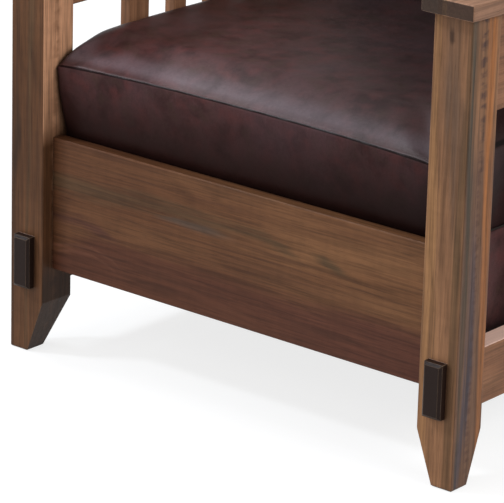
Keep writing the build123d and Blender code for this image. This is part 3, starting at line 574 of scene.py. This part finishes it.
def makeLeather(name, seams=False, shaded=False):
    # domed cells, whose creases lie where the distance to a cell's edge is
    # small, over slow clouds of colour and under a coat of wax; on a sewn
    # cushion, short pulls run square to the seam and fade with the way from it
    look = leatherLook
    paint = Paint(name, IOR=look["ior"], Specular_IOR_Level=look["gloss"], Coat_IOR=look["ior"],
                  Coat_Roughness=look["waxRoughness"])
    place = paint.place()
    clouds = paint.noise(place, 26.0, 4.0, 0.6, 0.3)
    stains = paint.noise(paint.node(
        "ShaderNodeVectorMath", {"operation": "ADD"}, {0: place, 1: (3.7, 1.9, 5.3)}
    ), 40.0, 3.0, 0.5, 0.2)
    broad = paint.noise(place, 7.0, 2.0, 0.5)
    fine = paint.noise(place, 260.0, 3.0, 0.6)
    cells = paint.node(
        "ShaderNodeTexVoronoi", {"feature": "DISTANCE_TO_EDGE"},
        {"Vector": place, "Scale": look["cellsPerMetre"], "Randomness": 0.9},
    )
    pits = paint.noise(place, 1500.0, 2.0, 0.6)
    colour = paint.blend(clouds.rise(0.3, 0.62), look["deep"], look["base"])
    colour = paint.blend(stains.rise(0.44, 0.78) * 0.6, colour, look["red"])
    colour = paint.blend((1.0 - stains).rise(0.5, 0.72) * 0.5, colour, look["olive"])
    colour = paint.blend(broad.rise(0.48, 0.75) * 0.4, colour, look["wornAndSheen"])
    colour = paint.blend((1.0 - cells.rise(0.0, 0.12)) * 0.35, colour, look["deep"])
    rough = look["roughness"] + (stains - 0.5) * 0.22 + (fine - 0.5) * 0.1
    soft = paint.bump(paint.noise(place, 42.0, 3.0, 0.5, 0.4), 0.3, look["softDepth"])
    wax = (0.45 + stains * 0.6 + fine * 0.5) * look["wax"]
    if seams:
        way = paint.node("ShaderNodeAttribute", {"attribute_name": "seamWay"}, {}, "Fac")
        run = paint.node("ShaderNodeAttribute", {"attribute_name": "seamRun"}, {}, "Fac")
        near = 1.0 - way.rise(0.002, look["pullReach"])
        pulls = paint.noise(paint.vector(run * 210, way * 24, 0.0), 1.0, 3.0, 0.6)
        soft = paint.bump(pulls * near, 0.45, look["pullDepth"], soft)
        # painted sheen: the pulls beside the seam are painted paler in streaks
        colour = paint.blend(near * pulls.rise(0.5, 0.75) * 0.2, colour, look["wornAndSheen"])
        rough = rough + near * (pulls - 0.5) * 0.3
        # painted shade: the seam's crease is painted nearly black
        crease = 1.0 - way.rise(look["creaseHalf"] * 0.7, look["creaseHalf"] * 1.6)
        colour = paint.blend(crease * 0.95, colour, look["crease"])
        rough = rough + crease * 0.4
        # painted sheen, partly wear: the front edge of the top is painted paler, a finger's width
        # from its seam
        acrossSeat, backwards, _ = paint.split(place)
        sideways, _, upwards = paint.split(paint.facing())
        edge = way.rise(0.002, 0.014) * (1.0 - way.rise(0.014, 0.045)) * upwards.rise(0.5, 0.7)
        edge = edge * (1.0 - backwards.rise(-0.42, -0.38)) * (0.1 + clouds * 0.6)
        colour = paint.blend(edge, colour, look["rubAndSheen"])
        # painted shade: the boxing has little wax, and is painted darker away from its seam, less
        # on the right
        boxing = (1.0 - upwards.size().rise(0.35, 0.7)) * (1.0 - sideways.rise(0.5, 0.8) * 0.7)
        fade = way.rise(-0.02, 0.085) * look["boxingShadeStrength"]
        colour = paint.blend(boxing * fade, colour, look["boxingShade"])
        wax = wax * (1.0 - boxing * 0.85)
        if shaded:
            # painted shade: the seat is painted darker towards the back and the right
            far = (acrossSeat * 0.5 + backwards).rise(-0.56, -0.06)
            colour = paint.scaled(colour, 1.0 - far * look["rearDark"])
    colour = paint.scaled(colour, 0.84 + fine * 0.32)
    close = paint.closeness(look["shadowReach"])
    colour = paint.blend(close.rise(0.12, 0.75) * 0.92, colour, look["shadow"])
    paint.feed("Base Color", colour)
    paint.feed("Roughness", rough)
    paint.feed("Coat Weight", wax)
    creased = cells.rise(0.0, 0.25) * 0.8 + pits * 0.2
    paint.feed("Normal", paint.bump(creased, 0.3, look["grainDepth"], soft))
    return paint.material


def makeCloth(name, threads, gap, thread):
    # two sets of threads that pass over and under each other
    paint = Paint(name, Sheen_Weight=0.2, IOR=1.4)
    x, y, z = paint.split(paint.place())
    warp = (x * (2 * math.pi * thread)).wave()
    weft = ((y + z) * (2 * math.pi * thread)).wave()
    weave = warp * weft * 0.5 + 0.5
    fuzz = paint.noise(paint.place(), 300.0, 3.0)
    paint.feed("Base Color", paint.blend(weave * 0.7 + fuzz * 0.3, gap, threads))
    paint.feed("Roughness", 0.85 + (fuzz - 0.5) * 0.2)
    paint.feed("Normal", paint.bump(weave, 0.5, 0.0003))
    return paint.material


def makeMetal(name, tone, roughness):
    # fine turned scratches and a few darker spots
    paint = Paint(name, Metallic=1.0)
    place = paint.place()
    scratches = paint.noise(paint.node(
        "ShaderNodeVectorMath", {"operation": "MULTIPLY"}, {0: place, 1: (60.0, 900.0, 900.0)}
    ), 1.0, 3.0)
    spots = paint.noise(place, 160.0, 3.0)
    colour = paint.blend(spots.rise(0.5, 0.8) * 0.6, tone, shade(96, 82, 62))
    paint.feed("Base Color", colour)
    paint.feed("Roughness", roughness + (scratches - 0.5) * 0.2)
    paint.feed("Normal", paint.bump(scratches, 0.2, 0.0001))
    return paint.material


leather = makeLeather("agedLeather")
sewnLeather = makeLeather("sewnLeather", seams=True)
seatLeather = makeLeather("seatLeather", seams=True, shaded=True)
dustCloth = makeCloth("dustCloth", shade(46, 44, 43), shade(22, 21, 21), 700.0)
deckCloth = makeCloth("deckCloth", shade(70, 60, 54), shade(40, 34, 30), 600.0)
fillingCloth = makeCloth("fillingMuslin", shade(226, 218, 198), shade(190, 182, 160), 800.0)
brassMetal = makeMetal("agedBrass", shade(176, 146, 92), 0.36)
steelMetal = makeMetal("darkSteel", shade(140, 136, 130), 0.4)

# the empty start takes the rest, which are leather
coats.update({
    "seat_cushion_core": fillingCloth,
    "back_cushion_core": fillingCloth,
    "seat_deck_pad": deckCloth,
    "seat_dust_cover": dustCloth,
    "webbing_tacks": steelMetal,
    "webbing": makeCloth("juteWebbing", shade(186, 158, 112), shade(120, 96, 62), 450.0),
    "hinge_screws": steelMetal,
    "hinge": brassMetal,
    "cleat_screws": steelMetal,
    "rack_screws": steelMetal,
    "": leather,
})
for name, node in nodes.items():
    node.data.materials.clear()
    node.data.materials.append(next(coats[start] for start in coats if name.startswith(start)))
print("stage: CAD nodes dressed")


# mesh helpers

def meshPiece(name, points, faces, material, body):
    mesh = bpy.data.meshes.new(name)
    mesh.from_pydata(np.asarray(points, dtype=float).tolist(), [], np.asarray(faces).tolist())
    mesh.update()
    mesh.polygons.foreach_set("use_smooth", np.ones(len(mesh.polygons), dtype=bool))
    piece = bpy.data.objects.new(name, mesh)
    bpy.context.scene.collection.objects.link(piece)
    mesh.materials.append(material)
    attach(piece, body)
    return piece


def readPoints(mesh):
    flat = np.empty(len(mesh.vertices) * 3)
    mesh.vertices.foreach_get("co", flat)
    return flat.reshape(-1, 3)


def writePoints(mesh, points):
    mesh.vertices.foreach_set("co", np.ascontiguousarray(points).ravel())
    mesh.update()


def gridQuads(count, order=(0, 1, 2, 3)):
    # the faces of a count by count grid of points, each four indices in order
    index = np.arange(count * count).reshape(count, count)
    quads = np.stack([index[:-1, :-1], index[:-1, 1:], index[1:, 1:], index[1:, :-1]], axis=2)
    return quads.reshape(-1, 4)[:, order]


# boxed cushions

cushionLook = {
    "count": 77,
    "rows": 13,
    "pressure": 4.0,
    "stiffness": 25.0,
    "bending": 4.0,
    "frames": 20,
    "quality": 5,
    "lastRow": 0.955,
    "cornerReach": 0.02,
    "seamBand": 0.0028,
    "seamGroove": 0.0016,
    "pucker": 0.0004,
}


def wayOut(s, t):
    # a point's share of the way from the square's middle to its border
    return np.maximum(np.maximum(np.abs(s), np.abs(t)), 1e-9)


def squareToOutline(s, t, low, high, radius):
    # a point of the square from -1 to 1 goes to the rounded rectangle from low
    # to high: its ring round the centre keeps its share of the way out
    share = wayOut(s, t)
    half = (high - low) / 2
    middle = (high + low) / 2
    px, py = s / share * half[0], t / share * half[1]
    qx = np.clip(px, -(half[0] - radius), half[0] - radius)
    qy = np.clip(py, -(half[1] - radius), half[1] - radius)
    dx, dy = px - qx, py - qy
    away = np.maximum(np.hypot(dx, dy), 1e-9)
    outside = away > radius
    px = np.where(outside, qx + dx / away * radius, px)
    py = np.where(outside, qy + dy / away * radius, py)
    return middle[0] + px * share, middle[1] + py * share


def ringOfSquare(count):
    # the border of a count by count grid, once round
    side = np.arange(count - 1)
    last = count - 1
    rows = np.concatenate([np.zeros(last), side, np.full(last, last), last - side])
    cols = np.concatenate([side, np.full(last, last), last - side, np.zeros(last)])
    return rows.astype(int), cols.astype(int)


def borderRun(s, t, half):
    # how far round the border the ray from the middle through a point meets it:
    # from the front's middle one way, and back the other way along the left
    share = wayOut(s, t)
    sb, tb = s / share, t / share
    width, depth = half
    return np.select(
        [tb < -0.9999, sb > 0.9999, tb > 0.9999],
        [sb * width, width + (tb + 1) * depth, width + 2 * depth + (1 - sb) * width],
        -width - (tb + 1) * depth,
    )


def seamBow(s, t, power=2.4):
    # 0 at the border's corners and 1 at the middle of each side
    share = wayOut(s, t)
    return 1 - np.minimum(np.abs(s), np.abs(t)) ** power / share ** power


def cushionGrid(shape):
    # two square grids, top and bottom, joined at their borders by the rows of
    # the boxing; each row's outline runs from the bottom's to the top's, and
    # narrow rows and rings lie beside the seam
    count, rows = shape["count"], shape["rows"]
    low0, high0 = np.array(shape["bottomLow"]), np.array(shape["bottomHigh"])
    low1, high1 = np.array(shape["topLow"]), np.array(shape["topHigh"])
    half = (high1 - low1) / 2
    radius, tall = shape["radius"], shape["seam"] - shape["bottom"]
    beside = 1 - np.array(shape["insets"]) / half.mean()
    inner = np.linspace(-beside[-1], beside[-1], count + 2 - 2 * len(beside))
    steps = np.concatenate([-beside[:-1], inner, beside[:-1][::-1]])
    s, t = np.meshgrid(steps, steps, indexing="xy")
    share = np.maximum(np.abs(s), np.abs(t))
    bow = seamBow(s, t)
    topX, topY = squareToOutline(s, t, low1, high1, radius)
    topY = topY + shape["bowBack"] * bow * share ** 6 * (t < 0) * np.abs(t)
    # the crown's rise as a share, by how far in from the seam a point lies
    riseX = np.interp(half[0] * (1 - np.abs(s)), *shape["sideCurve"])
    riseY = np.interp(half[1] * (1 - np.abs(t)), *shape["sideCurve"])
    riseY = np.where(t < 0, np.interp(half[1] * (1 + t), *shape["frontCurve"]), riseY)
    rise = 1 - ((1 - riseX) ** 3 + (1 - riseY) ** 3) ** (1 / 3)
    lift = shape["bowUp"] * bow * share ** 4
    topZ = shape["seam"] + lift + shape["crown"] * np.maximum(rise, 0)
    botX, botY = squareToOutline(s, t, low0, high0, radius)
    botZ = np.full_like(botX, shape["bottom"])
    border = ringOfSquare(count)
    ringSize = len(border[0])
    levels, ways, runs = [], [], []
    run = borderRun(s, t, half)
    inset = np.minimum(half[0] * (1 - np.abs(s)), half[1] * (1 - np.abs(t)))
    heights = np.linspace(0, shape["lastRow"], rows)[1:]
    heights = np.append(heights, 1 - shape["seamBand"] / tall)
    for q in heights:
        lean = np.interp(q, *shape["leanCurve"])
        levelX = botX[border] * (1 - lean) + topX[border] * lean
        levelY = botY[border] * (1 - lean) + topY[border] * lean
        levelZ = shape["bottom"] + (topZ[border] - shape["bottom"]) * q
        levels.append(np.stack([levelX, levelY, levelZ], axis=1))
        ways.append(np.full(ringSize, (1 - q) * tall))
        runs.append(run[border])
    top = np.stack([topX, topY, topZ], axis=2).reshape(-1, 3)
    bottom = np.stack([botX, botY, botZ], axis=2).reshape(-1, 3)
    points = np.concatenate([top, bottom, *levels])
    way = np.concatenate([inset.ravel(), inset.ravel() + tall, *ways])
    run = np.concatenate([run.ravel(), run.ravel(), *runs])
    quads = gridQuads(count)
    topRing = border[0] * count + border[1]
    rings = [topRing + count * count]
    for row in range(len(heights)):
        rings.append(2 * count * count + row * ringSize + np.arange(ringSize))
    rings.append(topRing)
    sides = []
    for lower, upper in zip(rings[:-1], rings[1:]):
        sides.append(np.stack([lower, np.roll(lower, -1), np.roll(upper, -1), upper], axis=1))
    faces = np.concatenate([quads, quads[:, ::-1] + count * count, *sides])
    return points, faces, rings, way, run


def puff(piece, held, look):
    # pressure swells the closed form between its held lines; no point moves
    # further than the cap
    mesh = piece.data
    before = readPoints(mesh)
    group = piece.vertex_groups.new(name="held")
    group.add([int(i) for i in held], 1.0, "REPLACE")
    cloth = piece.modifiers.new("Cloth", "CLOTH")
    settings = cloth.settings
    settings.use_pressure = True
    settings.uniform_pressure_force = look["pressure"]
    settings.vertex_group_mass = "held"
    settings.effector_weights.gravity = 0
    settings.tension_stiffness = settings.compression_stiffness = look["stiffness"]
    settings.bending_stiffness = look["bending"]
    settings.quality = look["quality"]
    cloth.point_cache.frame_start = 1
    cloth.point_cache.frame_end = look["frames"]
    scene = bpy.context.scene
    for step in range(1, look["frames"] + 1):
        scene.frame_set(step)
    evaluated = piece.evaluated_get(bpy.context.evaluated_depsgraph_get())
    after = readPoints(evaluated.data)
    piece.modifiers.remove(cloth)
    piece.vertex_groups.clear()
    scene.frame_set(1)
    move = after - before
    length = np.maximum(np.linalg.norm(move, axis=1), 1e-9)
    move *= (np.minimum(length, look["cap"]) / length)[:, None]
    writePoints(mesh, before + move)
    print("stage: swelled", piece.name, "by up to", round(float(length.max()), 4))


def tuckSeam(points, rings, middle, half, look):
    # the seam's ring sinks into a crease and the rings beside it stand proud in
    # short uneven pulls
    ring = points[rings[-1]]
    away = ring[:, :2] - middle
    out = np.stack([
        np.sign(away[:, 0]) * (np.abs(away[:, 0]) > half[0] - look["cornerReach"]),
        np.sign(away[:, 1]) * (np.abs(away[:, 1]) > half[1] - look["cornerReach"]),
        np.zeros(len(ring)),
    ], axis=1)
    out /= np.maximum(np.linalg.norm(out, axis=1), 1e-9)[:, None]
    walk = np.arange(len(ring))
    pull = np.sin(walk * 2.1) + 0.7 * np.sin(walk * 0.83 + 1.7) + 0.5 * np.sin(walk * 3.7 + 0.4)
    points[rings[-1]] -= out * look["seamGroove"]
    points[rings[-2]] += out * (look["pucker"] * pull)[:, None]
    return points


def makeCushion(name, points, faces, rings, material, body, look):
    # the bottom and the seam's line are held while the rest swells
    piece = meshPiece(name, points, faces, material, body)
    bottom = np.arange(look["count"] ** 2, 2 * look["count"] ** 2)
    puff(piece, np.concatenate([bottom, rings[-1]]), look)
    return piece


def finishCushion(piece, points, way, run):
    writePoints(piece.data, points)
    for name, values in (("seamWay", way), ("seamRun", run)):
        data = piece.data.attributes.new(name, "FLOAT", "POINT").data
        data.foreach_set("value", values.astype(np.float32))
    smooth = piece.modifiers.new("Subdivision", "SUBSURF")
    smooth.levels = smooth.render_levels = 1


# seat cushion: its boxing leans forward to the seam, which bows up and back
# between the corners

seatLook = {
    **cushionLook,
    "radius": 0.006,
    "crown": 0.038,
    "sideCurve": ([0, 0.003, 0.006, 0.01, 0.018, 0.036, 0.08, 0.14],
                  [0, 0.3, 0.49, 0.66, 0.82, 0.91, 0.975, 1]),
    "frontCurve": ([0, 0.006, 0.012, 0.02, 0.031, 0.05, 0.08, 0.12, 0.17],
                   [0, 0.18, 0.33, 0.49, 0.65, 0.8, 0.91, 0.97, 1]),
    "leanCurve": ([0, 0.14, 0.4, 0.7, 1], [0, 0.05, 0.45, 0.82, 1]),
    "insets": [0, 0.0028, 0.006, 0.01, 0.015, 0.021, 0.028],
    "seam": 0.399,
    "bowUp": 0.007,
    "bowBack": 0.004,
    "cap": 0.006,
    "apronTop": 0.303,
    "apronGap": 0.0012,
    "footGap": 0.003,
    "legGap": 0.0006,
    "rearGap": 0.001,
    "skin": 0.0004,
    "deckGap": 0.0003,
    "rearPress": 0.0005,
    "behindLegs": 0.004,
    "swellRun": 0.05,
    "sideBulge": 0.011,
    "bulgeLimit": 0.0165,
}

seatLow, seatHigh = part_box("seat_cushion_cover")
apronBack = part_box("front_apron")[1][1]
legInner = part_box("front_leg_right")[0][0]
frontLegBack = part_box("front_leg_right")[1][1] + seatLook["behindLegs"]
seatRear = seatHigh[1] - seatLook["rearGap"]
seatShape = {
    **seatLook,
    "bottom": seatLow[2] + seatLook["skin"],
    "bottomLow": (-legInner + seatLook["footGap"], apronBack + seatLook["apronGap"]),
    "bottomHigh": (legInner - seatLook["footGap"], seatRear),
    "topLow": (-legInner + seatLook["legGap"], seatLow[1] - seatLook["skin"]),
    "topHigh": (legInner - seatLook["legGap"], seatRear),
}


def makeSeatCushion():
    look = seatShape
    points, faces, rings, way, run = cushionGrid(look)
    # between the legs the sides swell out past the legs' inner faces, by a
    # smooth step behind the legs times the height times the way out
    swell = np.clip((points[:, 1] - frontLegBack) / look["swellRun"], 0, 1)
    swell = swell * swell * (3 - 2 * swell)
    tall = np.clip((points[:, 2] - look["bottom"]) / (look["seam"] - look["bottom"]), 0, 1)
    sideways = np.clip(np.abs(points[:, 0]) / legInner, 0, 1) ** 6
    points[:, 0] += np.sign(points[:, 0]) * look["sideBulge"] * swell * tall * sideways
    piece = makeCushion("seatCushion", points, faces, rings, seatLeather, "base", look)
    low, high = np.array(look["topLow"]), np.array(look["topHigh"])
    points = tuckSeam(readPoints(piece.data), rings, (low + high) / 2, (high - low) / 2, look)
    # nothing passes the deck, the apron, the legs or the back cushion
    points[:, 2] = np.maximum(points[:, 2], seatLow[2] + look["deckGap"])
    below = points[:, 2] < look["apronTop"]
    points[below, 1] = np.maximum(points[below, 1], apronBack + look["apronGap"] / 2)
    beside = points[:, 1] < frontLegBack
    limit = legInner + np.where(beside, -look["skin"], look["bulgeLimit"])
    points[:, 0] = np.clip(points[:, 0], -limit, limit)
    points[:, 1] = np.minimum(points[:, 1], seatHigh[1] + look["rearPress"])
    finishCushion(piece, points, way, run)
    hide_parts("seat_cushion_cover", "seat_cushion_core")


makeSeatCushion()
print("stage: seat cushion")


# back cushion, made lying down and then leaned back with its frame

backCurve = ([0, 0.005, 0.012, 0.034, 0.071, 0.122, 0.17], [0, 0.2, 0.38, 0.66, 0.85, 0.96, 1])
backLook = {
    **cushionLook,
    "radius": 0.018,
    "crown": 0.022,
    "sideCurve": backCurve,
    "frontCurve": backCurve,
    "leanCurve": ([0, 1], [0, 1]),
    "insets": [0, 0.0028, 0.007, 0.013, 0.021],
    "bottom": 0.031,
    "seam": 0.134,
    "bottomLow": (-0.295, -0.023),
    "bottomHigh": (0.295, 0.6985),
    "topLow": (-0.2955, -0.0235),
    "topHigh": (0.2955, 0.699),
    "bowUp": 0.002,
    "bowBack": 0.003,
    "cap": 0.009,
    "drawnIn": 0.004,
    "frameFace": 0.0307,
    "sideLimit": 0.3005,
}
pivot = np.array([0.0, 0.2363012, 0.305])
leanAngle = math.radians(16.0)
upBack = np.array([0.0, math.sin(leanAngle), math.cos(leanAngle)])
towardsSitter = np.array([0.0, -math.cos(leanAngle), math.sin(leanAngle)])


def leaned(flat):
    # across, up the back and towards the sitter become the chair's own axes
    across = flat[:, 0:1] * np.array([[1.0, 0.0, 0.0]])
    return pivot + across + flat[:, 1:2] * upBack + flat[:, 2:3] * towardsSitter


def flattened(placed):
    away = placed - pivot
    return np.stack([away[:, 0], away @ upBack, away @ towardsSitter], axis=1)


def makeBackCushion():
    look = backLook
    points, faces, rings, way, run = cushionGrid(look)
    low, high = np.array(look["topLow"]), np.array(look["topHigh"])
    middle, half = (low + high) / 2, (high - low) / 2
    # the sides draw in between the corners, by one less the square of the way
    # to the corner
    shareX, shareY = ((points[:, :2] - middle) / half).T
    points[:, 0] -= look["drawnIn"] * (1 - shareY ** 2) * shareX
    points[:, 1] -= look["drawnIn"] * (1 - shareX ** 2) * shareY
    piece = makeCushion("backCushion", leaned(points), faces, rings, sewnLeather, "back", look)
    points = tuckSeam(flattened(readPoints(piece.data)), rings, middle, half, look)
    points[:, 2] = np.maximum(points[:, 2], look["frameFace"])
    points[:, 0] = np.clip(points[:, 0], -look["sideLimit"], look["sideLimit"])
    finishCushion(piece, leaned(points), way, run)
    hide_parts("back_cushion_cover", "back_cushion_core")


makeBackCushion()
print("stage: back cushion")


# deck pad, leather sides and dust cover

deckLook = {"count": 25, "edge": 0.004, "weld": 1e-6}
sheetLook = {
    "count": 41,
    "leatherSag": 0.0006,
    "leatherThickness": 0.0014,
    "clothSag": 0.004,
    "clothThickness": 0.0006,
    "clothDrop": 0.0005,
}


def slabSurface(low, high, roundness, count):
    # a closed rounded box: a cube's grid faces, pushed out so that the edges
    # turn with the given radius
    steps = np.linspace(-1, 1, count)
    a, b = np.meshgrid(steps, steps, indexing="ij")
    one = np.ones_like(a)
    sides = []
    for axis in range(3):
        for sign in (-1.0, 1.0):
            parts = [None, None, None]
            parts[axis] = one * sign
            parts[(axis + 1) % 3] = a if sign > 0 else b
            parts[(axis + 2) % 3] = b if sign > 0 else a
            sides.append(np.stack(parts, axis=2).reshape(-1, 3))
    cube = np.concatenate(sides)
    half = (np.array(high) - np.array(low)) / 2
    middle = (np.array(high) + np.array(low)) / 2
    radius = min(roundness, half.min())
    spread = cube * half
    core = np.clip(spread, -(half - radius), half - radius)
    away = spread - core
    length = np.maximum(np.linalg.norm(away, axis=1), 1e-12)[:, None]
    points = middle + np.where(length > 1e-9, core + away / length * radius, spread)
    quads = gridQuads(count, (0, 3, 2, 1))
    return points, np.concatenate([quads + side * count * count for side in range(6)])


def openSheet(name, corner, side, rise, sag, out, thickness, material):
    # a sheet between corner, corner + side and corner + rise, with a slight
    # belly: sag times the roots of two half waves, along out
    count = sheetLook["count"]
    steps = np.linspace(0, 1, count)
    a, b = np.meshgrid(steps, steps, indexing="ij")
    belly = np.sin(np.pi * a) ** 0.5 * np.sin(np.pi * b) ** 0.5 * sag
    points = (
        np.array(corner)
        + a[..., None] * np.array(side)
        + b[..., None] * np.array(rise)
        + belly[..., None] * np.array(out)
    ).reshape(-1, 3)
    piece = meshPiece(name, points, gridQuads(count, (0, 3, 2, 1)), material, "base")
    wall = piece.modifiers.new("Solidify", "SOLIDIFY")
    wall.thickness = thickness
    wall.offset = 0.0
    return piece


deckLow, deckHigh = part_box("seat_deck_pad")
deckPoints, deckFaces = slabSurface(deckLow, deckHigh, deckLook["edge"], deckLook["count"])
deckPad = meshPiece("seatDeck", deckPoints, deckFaces, deckCloth, "base")
deckPad.modifiers.new("Weld", "WELD").merge_threshold = deckLook["weld"]
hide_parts("seat_deck_pad")

for side, sign in (("left", -1), ("right", 1)):
    low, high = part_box("seat_side_cover_" + side)
    depth, height = high[1] - low[1], high[2] - low[2]
    start, run = (low[1], depth) if sign > 0 else (high[1], -depth)
    cover = openSheet(
        "seatSideLeather" + side.capitalize(), ((low[0] + high[0]) / 2, start, low[2]),
        (0, run, 0), (0, 0, height), sheetLook["leatherSag"], (sign, 0, 0),
        sheetLook["leatherThickness"], leather,
    )
    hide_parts("seat_side_cover_" + side)

dustLow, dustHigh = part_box("seat_dust_cover")
dustWidth, dustDepth = dustHigh[0] - dustLow[0], dustHigh[1] - dustLow[1]
dustCover = openSheet(
    "dustCover", (dustLow[0], dustHigh[1], dustHigh[2] - sheetLook["clothDrop"]),
    (dustWidth, 0, 0), (0, -dustDepth, 0), sheetLook["clothSag"], (0, 0, -1),
    sheetLook["clothThickness"], dustCloth,
)
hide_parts("seat_dust_cover")
print("stage: seat's cloth and leather")


# stage, light and camera

white = (1.0, 1.0, 1.0)
stageLook = {
    "floorHalf": 30.0,
    "floorDrop": 0.0006,
    "floorGrey": 0.32,
    "floorGlow": 0.78,
    "floorRoughness": 0.9,
    "ambient": 0.45,
    "backdrop": 1.0,
}
# each lamp's place, target, side, power and tone
lamps = {
    "key": ((3.4, 0.0, 2.4), (0.0, -0.2, 0.4), 1.6, 60.0, white),
    "sheen": ((-3.66, -0.31, 5.16), (0.0, -0.43, 0.42), 1.3, 74.0, (0.88, 0.93, 1.0)),
    "frontSheen": ((-3.57, -2.97, 4.53), (0.0, -0.45, 0.42), 0.75, 130.0, (0.88, 0.93, 1.0)),
    "fill": ((-1.2, -3.6, 1.6), (0.0, 0.0, 0.4), 2.6, 40.0, white),
}
photoView = {
    "lens": 255.264,
    "sensor": 36.0,
    "near": 0.05,
    "far": 100.0,
    "azimuth": 39.086,
    "elevation": 19.236,
    "roll": 1.59,
    "place": (2.71136, -3.760733, 1.709184),
}


def makeFloor():
    # rays from the camera, and those that reflections and clear things pass
    # on, see a glow added to the floor's own grey; light bounces off the grey
    size, depth = stageLook["floorHalf"], -stageLook["floorDrop"]
    corners = [(x * size, y * size, depth) for x, y in ((-1, -1), (1, -1), (1, 1), (-1, 1))]
    mesh = bpy.data.meshes.new("floor")
    mesh.from_pydata(corners, [], [[0, 1, 2, 3]])
    floor = bpy.data.objects.new("floor", mesh)
    bpy.context.scene.collection.objects.link(floor)
    grey = stageLook["floorGrey"]
    paint = Paint("floorPaint", Roughness=stageLook["floorRoughness"],
                  Base_Color=(grey, grey, grey, 1.0), Specular_IOR_Level=0.0)
    seen, glossy, through = [
        paint.path(ray) for ray in ("Is Camera Ray", "Is Glossy Ray", "Is Transmission Ray")
    ]
    plain = paint.node(
        "ShaderNodeEmission", {}, {"Color": white, "Strength": stageLook["floorGlow"]}
    )
    surface = Wire(paint, paint.shader.outputs[0])
    added = paint.node("ShaderNodeAddShader", {}, {0: surface, 1: plain})
    factor = seen.high(glossy).high(through)
    chosen = paint.node("ShaderNodeMixShader", {}, {0: factor, 1: surface, 2: added})
    paint.show(chosen, "Material Output")
    mesh.materials.append(paint.material)


def makeWorld():
    # the camera sees plain white, and the object is lit by a dimmer white
    world = bpy.data.worlds.new("studio")
    bpy.context.scene.world = world
    world.use_nodes = True
    net = Net(world.node_tree)
    background = net.tree.nodes["Background"]
    background.inputs["Color"].default_value = (*white, 1.0)
    background.inputs["Strength"].default_value = stageLook["ambient"]
    light = Wire(net, background.outputs[0])
    seen = net.node(
        "ShaderNodeBackground", {}, {"Color": white, "Strength": stageLook["backdrop"]}
    )
    either = net.path("Is Camera Ray").high(net.path("Is Transmission Ray"))
    net.show(net.node("ShaderNodeMixShader", {}, {0: either, 1: light, 2: seen}), "World Output")


def addLamp(name, place, target, size, power, tone):
    data = bpy.data.lights.new(name, "AREA")
    data.shape = "SQUARE"
    data.size = size
    data.energy = power
    data.color = tone
    lamp = bpy.data.objects.new(name, data)
    bpy.context.scene.collection.objects.link(lamp)
    lamp.location = place
    lamp.rotation_euler = (Vector(target) - Vector(place)).to_track_quat("-Z", "Y").to_euler()


def addCamera(look):
    # forward points down from the azimuth by the elevation, right is level, up
    # is square to both, and the roll turns right and up about forward
    a, e, r = (math.radians(look[key]) for key in ("azimuth", "elevation", "roll"))
    forward = Vector((-math.sin(a) * math.cos(e), math.cos(a) * math.cos(e), -math.sin(e)))
    right = Vector((math.cos(a), math.sin(a), 0.0))
    up = right.cross(forward)
    turnedRight = right * math.cos(r) + up * math.sin(r)
    turnedUp = up * math.cos(r) - right * math.sin(r)
    camera = bpy.data.objects.new("camera", bpy.data.cameras.new("camera"))
    bpy.context.scene.collection.objects.link(camera)
    camera.data.lens = look["lens"]
    camera.data.sensor_width = look["sensor"]
    camera.data.clip_start = look["near"]
    camera.data.clip_end = look["far"]
    turn = Matrix((turnedRight, turnedUp, -forward)).transposed()
    camera.matrix_world = Matrix.Translation(look["place"]) @ turn.to_4x4()
    bpy.context.scene.camera = camera


makeFloor()
makeWorld()
for name, lamp in lamps.items():
    addLamp(name, *lamp)
addCamera(photoView)
bpy.context.scene.view_settings.view_transform = "Standard"
print("stage: light and camera")
